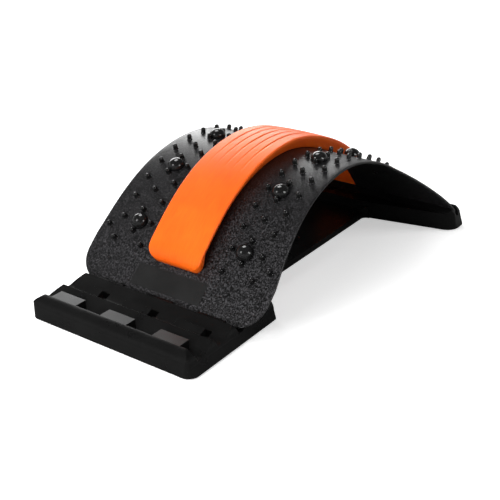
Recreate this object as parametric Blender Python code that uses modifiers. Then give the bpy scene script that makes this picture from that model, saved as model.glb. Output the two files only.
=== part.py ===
"""Back stretcher: an arched plate with massage points and a foam pad, on a stepped two-piece base.

Frame: X is the width, Y runs from the front rack to the rear rack, Z is up. The origin is under
the middle of the footprint, on the floor. Lengths below are millimetres, turned to metres by MM.
Places on the plate are given as (across, along, lift): across from its centre line, along its
upper surface from the front tip, and lift out of that surface.
"""

import math

import bmesh
import bpy
import numpy as np
from mathutils import Matrix, Vector

MM = 0.001

# Clearances
GAP = 0.3
SLOT_GAP = 1.0
NOTCH_GAP = 0.6

# Anti-slip feet
FOOT_RADIUS = 5.0
FOOT_PROUD = 1.0
FOOT_RECESS = 1.5
FOOT_INSET = 8.5

# How far joined shapes run into each other, cutters run past a face, and edges are broken
OVERLAP = 4.0
PAST = 1.0
TALL = 60.0
EDGE_BREAK = 0.8

# Front rack
RACK_WIDTH = 167.0
RACK_DEPTH = 113.0
RACK_CORNER = 9.0
RACK_SIDE_ROUND = 12.0
RACK_END_LEAN = 2.6
LIP_HEIGHT = 20.8
LIP_ROUND = 9.0
LIP_LEAN = 0.2
GROOVE_FRONT = 10.8
GROOVE_PITCH = 26.35
GROOVE_FLOOR = 12.0
GROOVE_WIDTH = 7.0
SEAT_FLOOR = 9.8
RIDGE_HEIGHT = 18.5
RIDGE_LEAN = 3.0
SHELF_START = 20.0
SHELF_HEIGHT = 18.0
RACK_BACK_HEIGHT = 19.6
TAB_WIDTH = 26.6
TAB_PITCH = 52.6
TAB_DEPTH = 9.7
RAMP_TAB_DEPTH = 6.3
RAMP_TAB_RISE = 2.4
SEAT_TAB_DEPTH = 3.0
SEAT_TAB_HEIGHT = 15.0
TAB_SLOT_LENGTH = 8.0
TAB_SLOT_FLOOR = 8.2

# Centre bridge between the racks, in two halves that overlap and are riveted
BRIDGE_WIDTH = 82.6
BRIDGE_TOP = 7.2
BRIDGE_JOINT = 236.0
TONGUE_LENGTH = 18.0
TONGUE_WIDTH = 60.0
TONGUE_THICKNESS = 2.8
RIVET_RADIUS = 3.0
RIVET_HEAD_RADIUS = 5.5
RIVET_HEAD_HEIGHT = 1.4
RIVET_SPACING = 36.0

# Rear rack
REAR_WIDTH = 263.2
REAR_FRONT_WALL = 18.0
REAR_INNER_REACH = 31.0
REAR_SWEEP = 17.0
REAR_LIP_HEIGHT = 24.0
REAR_LIP_THICKNESS = 2.4
REAR_TOE = 11.5
REAR_CORNER = 15.0
REAR_SIDE_ROUND = 9.0
REAR_END_LEAN = 2.4
REAR_BACK_CORNER = 2.5
BRIDGE_FILLET = 6.0
BRIDGE_FILLET_TOP = 12.0
SOCKET_LENGTH = 4.0
REAR_SEAT_LENGTH = 6.0
REAR_RIDGE_FOOT = 5.0

# Underside pockets
POCKET_RIB = 3.0
POCKET_SIZE = 33.0
POCKET_LENGTH = 26.0
POCKET_TOP = 7.0
REAR_POCKET_LENGTH = 14.0
BRIDGE_POCKET_TOP = 4.2
BRIDGE_POCKET_START = 20.0

# Arched plate: its slope in degrees at distances along it from the front tip
ARCH_SLOPES = (
    (0, 41.5),
    (40, 44.5),
    (62, 44.2),
    (99, 33.4),
    (137, 17.7),
    (176, 3.0),
    (214, -12.5),
    (253, -21.7),
    (291, -31.2),
    (330, -46.0),
    (368, -50.0),
)
PLATE_LENGTH = 368.0
PLATE_THICKNESS = 2.4
PLATE_WAIST = 170.0
PLATE_WAIST_AT = 0.511 * PLATE_LENGTH
PLATE_FLARE_AT = 0.76 * PLATE_LENGTH
PLATE_FRONT_WIDTH = 188.4
PLATE_FRONT_STRAIGHT = 40.0
PLATE_REAR_WIDTH = REAR_WIDTH - 6.4
PLATE_FRONT_CORNER = 26.5
PLATE_REAR_CORNER = 6.0
PLATE_ROWS = 46
PLATE_COLUMNS = 8

# Pins, moulded with the plate on staggered columns, and the ten large domes
PIN_COLUMNS = (42.8, 57.3, 72.6, 84.0)
PIN_START = 62.0
PIN_REAR_MARGIN = 33.0
PIN_FIRST = -2
PIN_LAST = 26
PIN_STEP = (PLATE_LENGTH - PIN_START - PIN_REAR_MARGIN) / PIN_LAST
PIN_RADIUS = 2.1
PIN_HEIGHT = 5.4
PIN_ROOT = 1.0
PIN_SIDES = 7
DOME_EVERY = 6
DOME_LAST = 24
DOME_COLUMN = 55.2
DOME_SHIFT = -0.7
DOME_RADIUS = 7.55
DOME_HEIGHT = 7.6
DOME_SKIRT = 1.4
DOME_SIDES = 16
STEM_RADIUS = 2.4
MAGNET_HEIGHT = 2.0
MAGNET_WALL = 2.2

# Foam pad, a crowned strip with five lengthwise channels and two keys through the plate
PAD_START = 33.0
PAD_END = PLATE_LENGTH - 10.0
PAD_WIDTH = 55.4
PAD_FOOT_WIDTH = 41.0
PAD_THICKNESS = 12.6
PAD_SIDE_START = 10.0
PAD_NOSE_HEIGHT = 3.2
PAD_NOSE_SIDE = 0.6
PAD_EDGE = 1.6
PAD_CROWN = 0.7
PAD_NOSE = 15.0
PAD_CORNER = 9.0
PAD_ROWS = 36
CHANNEL_COUNT = 5
CHANNEL_PITCH = 8.4
CHANNEL_WIDTH = 1.8
CHANNEL_DEPTH = 0.7
CHANNEL_FADE_START = 120.0
CHANNEL_FADE_END = 175.0
KEY_WIDTH = 37.0
KEY_LENGTH = 38.0
KEY_FRONT = 70.0
KEY_REAR = PLATE_LENGTH - 50.0
KEY_SPANS = ((KEY_FRONT, KEY_FRONT + KEY_LENGTH), (KEY_REAR, KEY_REAR + KEY_LENGTH))
KEY_ROWS = 6

SEAT_FRONT = GROOVE_FRONT + 2 * GROOVE_PITCH
BASE_BOTTOM = FOOT_PROUD

# Colours from the photograph
BLACK_SATIN = (0.018, 0.018, 0.020)
BLACK_GRAIN = (0.022, 0.022, 0.024)
BLACK_GLOSS = (0.008, 0.008, 0.009)
ORANGE_FOAM = (0.95, 0.20, 0.02)
MAGNET_GREY = (0.30, 0.30, 0.32)
RUBBER_GREY = (0.03, 0.03, 0.03)


def clear_scene():
    """Remove every object, so the script can be run again from the text editor."""
    for old in list(bpy.data.objects):
        bpy.data.objects.remove(old, do_unlink=True)


def make_collection(name):
    """A collection linked to the scene."""
    collection = bpy.data.collections.new(name)
    bpy.context.scene.collection.children.link(collection)
    return collection


def make_material(name, colour, roughness, metallic=0.0):
    """A Principled BSDF material."""
    material = bpy.data.materials.new(name)
    material.use_nodes = True
    shader = material.node_tree.nodes["Principled BSDF"]
    shader.inputs["Base Color"].default_value = (*colour, 1.0)
    shader.inputs["Roughness"].default_value = roughness
    shader.inputs["Metallic"].default_value = metallic
    return material


def slope_at(along):
    """Slope of the plate in radians, by a smooth curve through ARCH_SLOPES."""
    places = [place for place, _ in ARCH_SLOPES]
    slopes = [math.radians(slope) for _, slope in ARCH_SLOPES]
    last = len(places) - 1
    index = min(max(int(np.searchsorted(places, along)) - 1, 0), last - 1)
    span = places[index + 1] - places[index]
    tangents = []
    for at in (index, index + 1):
        before = max(at - 1, 0)
        after = min(at + 1, last)
        tangents.append((slopes[after] - slopes[before]) / (places[after] - places[before]))
    t = (along - places[index]) / span
    return (
        slopes[index] * (2 * t**3 - 3 * t**2 + 1)
        + tangents[0] * span * (t**3 - 2 * t**2 + t)
        + slopes[index + 1] * (3 * t**2 - 2 * t**3)
        + tangents[1] * span * (t**3 - t**2)
    )


def trace_arch():
    """Distances, slopes, Y and Z along the plate's upper surface, from its front tip."""
    distances = np.linspace(0.0, PLATE_LENGTH, 737)
    slopes = np.array([slope_at(along * ARCH_SLOPES[-1][0] / PLATE_LENGTH) for along in distances])
    step = distances[1] - distances[0]
    tip_y = SEAT_FRONT + GAP
    tip_z = SEAT_FLOOR + GAP + PLATE_THICKNESS * math.cos(slopes[0])
    middle = (slopes[1:] + slopes[:-1]) / 2
    y = tip_y + np.concatenate([[0.0], np.cumsum(np.cos(middle) * step)])
    z = tip_z + np.concatenate([[0.0], np.cumsum(np.sin(middle) * step)])
    return distances, slopes, y, z


ARCH = trace_arch()
REAR_END_Y = float(ARCH[2][-1])
REAR_END_Z = float(ARCH[3][-1])
REAR_SLOPE = float(ARCH[1][-1])
BASE_LENGTH = REAR_END_Y + REAR_TOE
CENTRE_SHIFT = -BASE_LENGTH / 2


def on_arch(across, along, lift):
    """A place on the plate as a point in metres."""
    distances, slopes, ys, zs = ARCH
    slope = float(np.interp(along, distances, slopes))
    y = float(np.interp(along, distances, ys)) - math.sin(slope) * lift
    z = float(np.interp(along, distances, zs)) + math.cos(slope) * lift
    return Vector((across, y + CENTRE_SHIFT, z)) * MM


def arch_frame(across, along, lift):
    """The matrix of a piece that stands on the plate."""
    slope = float(np.interp(along, ARCH[0], ARCH[1]))
    return Matrix.Translation(on_arch(across, along, lift)) @ Matrix.Rotation(slope, 4, "X")


def half_width(along):
    """Half the plate's width: a straight front, a long waist, a wide rear and round corners."""
    if along < PLATE_WAIST_AT:
        reach = (PLATE_WAIST_AT - along) / (PLATE_WAIST_AT - PLATE_FRONT_STRAIGHT)
        flare = min(reach, 1.0) ** 2
        end_width = PLATE_FRONT_WIDTH
        corner = PLATE_FRONT_CORNER
        from_end = along
    else:
        reach = max(along - PLATE_FLARE_AT, 0.0) / (PLATE_LENGTH - PLATE_FLARE_AT)
        flare = reach**2 * (3 - 2 * reach)
        end_width = PLATE_REAR_WIDTH
        corner = PLATE_REAR_CORNER
        from_end = PLATE_LENGTH - along
    half = (PLATE_WAIST + (end_width - PLATE_WAIST) * flare) / 2
    if from_end < corner:
        half -= corner - math.sqrt(corner**2 - (corner - from_end) ** 2)
    return half


def link(name, mesh, collection, material=None):
    """Put a mesh in the scene as an object."""
    piece = bpy.data.objects.new(name, mesh)
    if material is not None:
        mesh.materials.append(material)
    collection.objects.link(piece)
    return piece


def finish_mesh(bm, name):
    """Write a bmesh to a new mesh with its faces out and smooth rounds."""
    bmesh.ops.recalc_face_normals(bm, faces=bm.faces)
    mesh = bpy.data.meshes.new(name)
    bm.to_mesh(mesh)
    bm.free()
    mesh.shade_smooth()
    mesh.set_sharp_from_angle(angle=math.radians(35))
    return mesh


def add_box(bm, low, high):
    """A box in millimetres between two corners, in a bmesh in metres."""
    made = bmesh.ops.create_cube(bm, size=1.0)["verts"]
    for vert in made:
        for axis in range(3):
            middle = (low[axis] + high[axis]) / 2
            vert.co[axis] = (middle + vert.co[axis] * (high[axis] - low[axis])) * MM
    return made


def box_mesh(name, boxes):
    """Separate boxes in one mesh, with Y counted from the front of the base."""
    bm = bmesh.new()
    for low, high in boxes:
        made = add_box(bm, low, high)
        bmesh.ops.translate(bm, verts=made, vec=(0, CENTRE_SHIFT * MM, 0))
    return finish_mesh(bm, name)


def outline_mesh(name, outline, thickness, matrix):
    """A flat outline given thickness: a filled 2D curve turned to a mesh and welded."""
    curve = bpy.data.curves.new(name, "CURVE")
    curve.dimensions = "2D"
    curve.fill_mode = "BOTH"
    curve.extrude = thickness * MM / 2
    spline = curve.splines.new("POLY")
    spline.points.add(len(outline) - 1)
    for point, (u, v) in zip(spline.points, outline):
        point.co = (u * MM, v * MM, 0, 1)
    spline.use_cyclic_u = True
    holder = bpy.data.objects.new(name, curve)
    bpy.context.scene.collection.objects.link(holder)
    evaluated = holder.evaluated_get(bpy.context.evaluated_depsgraph_get())
    mesh = bpy.data.meshes.new_from_object(evaluated)
    bpy.data.objects.remove(holder, do_unlink=True)
    bm = bmesh.new()
    bm.from_mesh(mesh)
    bmesh.ops.remove_doubles(bm, verts=bm.verts, dist=0.00001)
    bmesh.ops.transform(bm, matrix=matrix, verts=bm.verts)
    return finish_mesh(bm, name)


def side_slab(name, outline, low_x, high_x):
    """An outline in (Y, Z) from the front of the base, stretched from low_x to high_x."""
    turn = Matrix(((0, 0, 1, 0), (1, 0, 0, 0), (0, 1, 0, 0), (0, 0, 0, 1)))
    place = Matrix.Translation(Vector(((low_x + high_x) / 2, CENTRE_SHIFT, 0)) * MM)
    return outline_mesh(name, outline, high_x - low_x, place @ turn)


def front_slab(name, outline, low_y, high_y):
    """An outline in (X, Z), stretched from low_y to high_y, both from the front of the base."""
    turn = Matrix(((1, 0, 0, 0), (0, 0, -1, 0), (0, 1, 0, 0), (0, 0, 0, 1)))
    place = Matrix.Translation(Vector((0, (low_y + high_y) / 2 + CENTRE_SHIFT, 0)) * MM)
    return outline_mesh(name, outline, high_y - low_y, place @ turn)


def arched_front(half, height, corner, lean):
    """Outline in (X, Z) of a block with leaning sides and round top corners, to trim a rack."""
    points = [(-half, BASE_BOTTOM - PAST), (half, BASE_BOTTOM - PAST)]
    points += arc((half - lean - corner, height - corner), corner, 0, 90, 5)
    points += arc((-half + lean + corner, height - corner), corner, 90, 180, 5)
    return points


def plan_slab(name, outline, low_z, high_z):
    """An outline in (X, Y) from the front of the base, stretched from low_z to high_z."""
    place = Matrix.Translation(Vector((0, CENTRE_SHIFT, (low_z + high_z) / 2)) * MM)
    return outline_mesh(name, outline, high_z - low_z, place)


def arc(centre, radius, start, end, steps):
    """Points on an arc, angles in degrees."""
    points = []
    for index in range(steps + 1):
        angle = math.radians(start + (end - start) * index / steps)
        points.append((centre[0] + radius * math.cos(angle), centre[1] + radius * math.sin(angle)))
    return points


def cutter(name, mesh):
    """A shape that only cuts or joins others."""
    piece = link(name, mesh, cutters)
    piece.hide_render = True
    piece.display_type = "WIRE"
    return piece


def combine(piece, other, operation):
    """Add a Boolean modifier."""
    modifier = piece.modifiers.new(other.name, "BOOLEAN")
    modifier.operation = operation
    modifier.object = other
    modifier.solver = "EXACT"


def disc_mesh(name, spots, radius, low, high, sides=16):
    """Upright cylinders at (X, Y) spots counted from the front of the base."""
    bm = bmesh.new()
    for x, y in spots:
        place = Matrix.Translation(Vector((x, y + CENTRE_SHIFT, (low + high) / 2)) * MM)
        bmesh.ops.create_cone(
            bm,
            cap_ends=True,
            segments=sides,
            radius1=radius * MM,
            radius2=radius * MM,
            depth=(high - low) * MM,
            matrix=place,
        )
    return finish_mesh(bm, name)


def turned_mesh(name, profile):
    """A turned solid: a profile in (radius, height) from the top down the outside, with Screw."""
    bm = bmesh.new()
    verts = [bm.verts.new((radius * MM, 0, height * MM)) for radius, height in profile]
    for first, second in zip(verts, verts[1:]):
        bm.edges.new((first, second))
    if profile[0][0] > 0:
        bm.edges.new((verts[-1], verts[0]))
    mesh = bpy.data.meshes.new(name)
    bm.to_mesh(mesh)
    bm.free()
    return mesh


def add_screw(piece, sides):
    """Turn a profile about Z."""
    screw = piece.modifiers.new("Turn", "SCREW")
    screw.axis = "Z"
    screw.steps = sides
    screw.render_steps = sides
    screw.use_merge_vertices = True
    screw.merge_threshold = 0.00001
    screw.use_smooth_shade = True


def pocket_boxes(xs, ys, length, top):
    """Underside pockets of POCKET_SIZE by length, at X and Y centres."""
    boxes = []
    for x in xs:
        for y in ys:
            low = (x - POCKET_SIZE / 2, y - length / 2, BASE_BOTTOM - PAST)
            high = (x + POCKET_SIZE / 2, y + length / 2, top)
            boxes.append((low, high))
    return boxes


def foot_spots():
    """Feet in the corners of the front rack and near the ends of the rear rack."""
    x = RACK_WIDTH / 2 - FOOT_INSET
    rear_x = REAR_WIDTH / 2 - FOOT_INSET
    rear_y = REAR_END_Y - 1.5
    spots = [(side * x, y) for y in (FOOT_INSET, RACK_DEPTH - FOOT_INSET) for side in (-1, 1)]
    spots += [(side * rear_x, rear_y) for side in (-1, 1)]
    return spots


def rivet_spots():
    """The two rivets of the bridge joint."""
    y = BRIDGE_JOINT + TONGUE_LENGTH / 2
    return [(side * RIVET_SPACING / 2, y) for side in (-1, 1)]


def rack_outline():
    """Side outline of the front rack: round lip, two ramps, the seat groove and the shelf."""
    centre = (LIP_LEAN + LIP_ROUND, LIP_HEIGHT - LIP_ROUND)
    outline = [(0.0, BASE_BOTTOM)] + arc(centre, LIP_ROUND, 178, 90, 7)
    outline.append((centre[0] + EDGE_BREAK / 2, LIP_HEIGHT - EDGE_BREAK / 2))
    for index in range(2):
        foot = GROOVE_FRONT + index * GROOVE_PITCH
        ridge = foot + GROOVE_PITCH - RIDGE_LEAN
        outline.append((foot, GROOVE_FLOOR))
        outline.append((foot + GROOVE_WIDTH, GROOVE_FLOOR))
        outline.append((ridge - EDGE_BREAK, RIDGE_HEIGHT - EDGE_BREAK / 4))
        outline.append((ridge, RIDGE_HEIGHT - EDGE_BREAK))
    outline.append((SEAT_FRONT, SEAT_FLOOR))
    outline.append((SEAT_FRONT + GROOVE_WIDTH / 2, SEAT_FLOOR))
    outline.append((SEAT_FRONT + SHELF_START, SHELF_HEIGHT))
    outline.append((RACK_DEPTH - 3 * EDGE_BREAK, RACK_BACK_HEIGHT))
    outline.append((RACK_DEPTH - EDGE_BREAK, RACK_BACK_HEIGHT - 2 * EDGE_BREAK))
    outline.append((RACK_DEPTH, BASE_BOTTOM))
    return outline


def rounded_plan(half_x, low_y, high_y, corner):
    """Plan of the front rack, with round front corners and small rear ones."""
    points = arc((-half_x + corner, low_y + corner), corner, 180, 270, 5)
    points += arc((half_x - corner, low_y + corner), corner, 270, 360, 5)
    points += arc((half_x - corner / 4, high_y - corner / 4), corner / 4, 0, 90, 2)
    points += arc((-half_x + corner / 4, high_y - corner / 4), corner / 4, 90, 180, 2)
    return points


def tab_outline(row):
    """Side outline of a tab: level with the lip, in line with the ramp, or low in the seat."""
    front = GROOVE_FRONT + row * GROOVE_PITCH
    if row == 0:
        start = LIP_LEAN + LIP_ROUND
        rear = front + TAB_DEPTH
        tops = [(start, LIP_HEIGHT - EDGE_BREAK / 8), (rear, LIP_HEIGHT - EDGE_BREAK / 8)]
        floor = GROOVE_FLOOR
    elif row == 1:
        start = front - RIDGE_LEAN - OVERLAP
        rear = front - RIDGE_LEAN + RAMP_TAB_DEPTH
        slope = (RIDGE_HEIGHT - GROOVE_FLOOR) / (GROOVE_PITCH - GROOVE_WIDTH - RIDGE_LEAN)
        start_z = RIDGE_HEIGHT - slope * OVERLAP - EDGE_BREAK / 2
        tops = [(start, start_z), (rear, RIDGE_HEIGHT + RAMP_TAB_RISE)]
        floor = GROOVE_FLOOR
    else:
        start = front - RIDGE_LEAN - OVERLAP
        rear = front + SEAT_TAB_DEPTH
        tops = [(start, RIDGE_HEIGHT - OVERLAP), (rear, SEAT_TAB_HEIGHT)]
        floor = SEAT_FLOOR
    return [(start, floor - PAST), *tops, (rear, floor - PAST)], rear


def build_base_front(material):
    """Front rack with its tabs, and the front half of the bridge."""
    half_rack = RACK_WIDTH / 2
    base = link(
        "base_front",
        side_slab("base_front", rack_outline(), -half_rack, half_rack),
        parts,
        material,
    )
    slots = []
    for row in range(3):
        outline, rear = tab_outline(row)
        for column in (-1, 0, 1):
            low_x = column * TAB_PITCH - TAB_WIDTH / 2
            high_x = low_x + TAB_WIDTH
            name = f"tab_{row}_{column + 2}"
            combine(base, cutter(name, side_slab(name, outline, low_x, high_x)), "UNION")
            if row == 1:
                low = (low_x - GAP, rear + GAP, TAB_SLOT_FLOOR)
                slots.append((low, (high_x + GAP, rear + GAP + TAB_SLOT_LENGTH, TALL)))
    combine(base, cutter("tab_slots", box_mesh("tab_slots", slots)), "DIFFERENCE")
    plan = rounded_plan(half_rack, 0, RACK_DEPTH + PAST, RACK_CORNER)
    combine(base, cutter("rack_plan", plan_slab("rack_plan", plan, -TALL, TALL)), "INTERSECT")
    front = arched_front(half_rack + GAP, LIP_HEIGHT + GAP, RACK_SIDE_ROUND, RACK_END_LEAN)
    trim = front_slab("rack_front", front, -OVERLAP, RACK_DEPTH + OVERLAP)
    combine(base, cutter("rack_front", trim), "INTERSECT")
    half = BRIDGE_WIDTH / 2
    low = (-half, RACK_DEPTH - OVERLAP, BASE_BOTTOM)
    bridge = [(low, (half, BRIDGE_JOINT - GAP / 2, BRIDGE_TOP))]
    combine(base, cutter("bridge_front", box_mesh("bridge_front", bridge)), "UNION")
    low = (-TONGUE_WIDTH / 2, BRIDGE_JOINT - OVERLAP, BASE_BOTTOM)
    high = (TONGUE_WIDTH / 2, BRIDGE_JOINT + TONGUE_LENGTH, BASE_BOTTOM + TONGUE_THICKNESS)
    combine(base, cutter("bridge_tongue", box_mesh("bridge_tongue", [(low, high)])), "UNION")
    columns = [step * (POCKET_SIZE + POCKET_RIB) for step in (-1.5, -0.5, 0.5, 1.5)]
    rows = [RACK_DEPTH / 2 + step * (POCKET_LENGTH + POCKET_RIB) for step in (-1, 0, 1)]
    pockets = pocket_boxes(columns, rows, POCKET_LENGTH, POCKET_TOP)
    rows = [
        RACK_DEPTH + BRIDGE_POCKET_START + step * (POCKET_LENGTH + POCKET_RIB) for step in range(3)
    ]
    pockets += pocket_boxes(columns[1:3], rows, POCKET_LENGTH, BRIDGE_POCKET_TOP)
    combine(base, cutter("front_pockets", box_mesh("front_pockets", pockets)), "DIFFERENCE")
    holes = disc_mesh("front_rivet_holes", rivet_spots(), RIVET_RADIUS + GAP, 0, BRIDGE_TOP)
    combine(base, cutter("front_rivet_holes", holes), "DIFFERENCE")
    recesses = disc_mesh(
        "front_foot_recesses",
        foot_spots()[:4],
        FOOT_RADIUS + GAP,
        0,
        BASE_BOTTOM + FOOT_RECESS + GAP,
    )
    combine(base, cutter("front_foot_recesses", recesses), "DIFFERENCE")
    return base


def rear_point(back, rise):
    """A point in (Y, Z), back along the plate from its rear end and rise out of its surface."""
    along = (math.cos(REAR_SLOPE), math.sin(REAR_SLOPE))
    out = (-math.sin(REAR_SLOPE), math.cos(REAR_SLOPE))
    y = REAR_END_Y - back * along[0] + rise * out[0]
    z = REAR_END_Z - back * along[1] + rise * out[1]
    return (y, z)


def rear_outline():
    """Side outline of the rear rack: front wall, shelf, sloping seat, socket and rear lip."""
    seat_rise = -(PLATE_THICKNESS + GAP)
    ridge = rear_point(SOCKET_LENGTH + REAR_SEAT_LENGTH, seat_rise)
    front = REAR_END_Y - REAR_INNER_REACH - TALL
    socket_back = rear_point(-SLOT_GAP, -(PLATE_THICKNESS + SLOT_GAP))
    inner = REAR_END_Y + SLOT_GAP
    return [
        (front, BASE_BOTTOM),
        (front, REAR_FRONT_WALL),
        (ridge[0] - REAR_RIDGE_FOOT, REAR_FRONT_WALL),
        ridge,
        rear_point(SOCKET_LENGTH, seat_rise),
        rear_point(SOCKET_LENGTH, -(PLATE_THICKNESS + SLOT_GAP)),
        socket_back,
        (inner, socket_back[1]),
        (inner, REAR_LIP_HEIGHT),
        (inner + REAR_LIP_THICKNESS, REAR_LIP_HEIGHT - EDGE_BREAK),
        (BASE_LENGTH, BASE_BOTTOM),
    ]


def rear_plan():
    """Plan of the rear rack, with its front wall swept back to large round corners."""
    half = REAR_WIDTH / 2
    inner = REAR_END_Y - REAR_INNER_REACH
    outer = inner + REAR_SWEEP
    corner = REAR_CORNER
    back = REAR_BACK_CORNER
    bridge = BRIDGE_WIDTH / 2
    high = BASE_LENGTH - back + PAST
    points = [(-bridge, inner), (bridge, inner)]
    points += arc((half - corner, outer + corner), corner, 282, 360, 6)
    points += arc((half - back, high), back, 0, 90, 4)
    points += arc((-half + back, high), back, 90, 180, 4)
    points += arc((-half + corner, outer + corner), corner, 180, 258, 6)
    return points


def fillet_plan(side):
    """Plan of the round corner between the bridge's side and the rear rack's front wall."""
    edge = BRIDGE_WIDTH / 2
    inner = REAR_END_Y - REAR_INNER_REACH
    points = [(edge - OVERLAP, inner + OVERLAP), (edge - OVERLAP, inner - BRIDGE_FILLET)]
    points += arc((edge + BRIDGE_FILLET, inner - BRIDGE_FILLET), BRIDGE_FILLET, 180, 90, 5)
    points.append((edge + BRIDGE_FILLET, inner + OVERLAP))
    return [(side * x, y) for x, y in points]


def build_base_rear(material):
    """Rear rack with its lip, and the rear half of the bridge."""
    half = REAR_WIDTH / 2
    base = link(
        "base_rear",
        side_slab("base_rear", rear_outline(), -half, half),
        parts,
        material,
    )
    combine(base, cutter("rear_plan", plan_slab("rear_plan", rear_plan(), -TALL, TALL)), "INTERSECT")
    inner_front = REAR_END_Y - REAR_INNER_REACH
    front = arched_front(half + GAP, REAR_LIP_HEIGHT + GAP, REAR_SIDE_ROUND, REAR_END_LEAN)
    trim = front_slab("rear_front", front, inner_front - OVERLAP, BASE_LENGTH + OVERLAP)
    combine(base, cutter("rear_front", trim), "INTERSECT")
    for side, name in ((-1, "left"), (1, "right")):
        mesh = plan_slab("fillet_" + name, fillet_plan(side), BASE_BOTTOM, BRIDGE_FILLET_TOP)
        combine(base, cutter("fillet_" + name, mesh), "UNION")
    bridge_half = BRIDGE_WIDTH / 2
    low = (-bridge_half, BRIDGE_JOINT + GAP / 2, BASE_BOTTOM)
    bridge = [(low, (bridge_half, inner_front + OVERLAP, BRIDGE_TOP))]
    combine(base, cutter("bridge_rear", box_mesh("bridge_rear", bridge)), "UNION")
    low = (-TONGUE_WIDTH / 2 - GAP, BRIDGE_JOINT - OVERLAP, BASE_BOTTOM - PAST)
    high = (
        TONGUE_WIDTH / 2 + GAP,
        BRIDGE_JOINT + TONGUE_LENGTH + GAP,
        BASE_BOTTOM + TONGUE_THICKNESS + GAP,
    )
    recess = box_mesh("tongue_recess", [(low, high)])
    combine(base, cutter("tongue_recess", recess), "DIFFERENCE")
    pitch = POCKET_SIZE + POCKET_RIB
    rows = [inner_front + REAR_SWEEP + POCKET_RIB + REAR_POCKET_LENGTH / 2]
    columns = [step * pitch for step in (-2.5, -1.5, -0.5, 0.5, 1.5, 2.5)]
    pockets = pocket_boxes(columns, rows, REAR_POCKET_LENGTH, POCKET_TOP)
    start = BRIDGE_JOINT + TONGUE_LENGTH + BRIDGE_POCKET_START
    rows = [start + step * (POCKET_LENGTH + POCKET_RIB) for step in range(3)]
    pockets += pocket_boxes(columns[2:4], rows, POCKET_LENGTH, BRIDGE_POCKET_TOP)
    combine(base, cutter("rear_pockets", box_mesh("rear_pockets", pockets)), "DIFFERENCE")
    holes = disc_mesh("rear_rivet_holes", rivet_spots(), RIVET_RADIUS + GAP, 0, BRIDGE_TOP + PAST)
    combine(base, cutter("rear_rivet_holes", holes), "DIFFERENCE")
    recesses = disc_mesh(
        "rear_foot_recesses",
        foot_spots()[4:],
        FOOT_RADIUS + GAP,
        0,
        BASE_BOTTOM + FOOT_RECESS + GAP,
    )
    combine(base, cutter("rear_foot_recesses", recesses), "DIFFERENCE")
    return base


def build_feet(material):
    """Rubber feet, pressed into the underside."""
    for index, spot in enumerate(foot_spots(), start=1):
        name = f"anti_slip_foot_{index}"
        top = BASE_BOTTOM + FOOT_RECESS
        link(name, disc_mesh(name, [spot], FOOT_RADIUS, 0, top), parts, material)


def build_rivets(material):
    """Push rivets that hold the two halves of the bridge together."""
    low = BASE_BOTTOM + GAP
    seat = BRIDGE_TOP + GAP
    top = seat + RIVET_HEAD_HEIGHT
    profile = [
        (0, top),
        (RIVET_HEAD_RADIUS * 0.6, top),
        (RIVET_HEAD_RADIUS, seat + 0.5),
        (RIVET_HEAD_RADIUS, seat),
        (RIVET_RADIUS, seat),
        (RIVET_RADIUS, low),
        (0, low),
    ]
    for side, (x, y) in zip(("left", "right"), rivet_spots()):
        name = "bridge_rivet_" + side
        rivet = link(name, turned_mesh(name, profile), parts, material)
        rivet.location = Vector((x, y + CENTRE_SHIFT, 0)) * MM
        add_screw(rivet, 16)


def bent_block(name, spans, half_x, low, high, rows):
    """Blocks over spans of the plate, bent to its curve, from lift low to lift high."""
    joined = bmesh.new()
    for start, end in spans:
        bm = bmesh.new()
        bmesh.ops.create_cube(bm, size=1.0)
        lengthwise = [
            edge for edge in bm.edges if abs(edge.verts[0].co.y - edge.verts[1].co.y) > 0.5
        ]
        bmesh.ops.subdivide_edges(bm, edges=lengthwise, cuts=rows, use_grid_fill=True)
        for vert in bm.verts:
            across = vert.co.x * 2 * half_x
            along = (start + end) / 2 + vert.co.y * (end - start)
            lift = (low + high) / 2 + vert.co.z * (high - low)
            vert.co = on_arch(across, along, lift)
        block = bpy.data.meshes.new(name)
        bm.to_mesh(block)
        bm.free()
        joined.from_mesh(block)
    return finish_mesh(joined, name)


def pin_spots():
    """Where the pins stand, as (across, along)."""
    spots = []
    for step in range(PIN_FIRST, PIN_LAST + 1):
        along = PIN_START + step * PIN_STEP
        if step % 2 == 0:
            columns = (PIN_COLUMNS[0], PIN_COLUMNS[2])
        elif step in (PIN_FIRST + 1, PIN_LAST - 1):
            columns = (PIN_COLUMNS[1], PIN_COLUMNS[3])
        else:
            columns = (PIN_COLUMNS[1],)
        spots += [(side * column, along) for column in columns for side in (-1, 1)]
    return spots


def dome_spots():
    """Where the large domes sit, as (across, along)."""
    steps = range(0, DOME_LAST + 1, DOME_EVERY)
    return [
        (side * DOME_COLUMN, PIN_START + DOME_SHIFT + step * PIN_STEP)
        for step in steps
        for side in (-1, 1)
    ]


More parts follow.
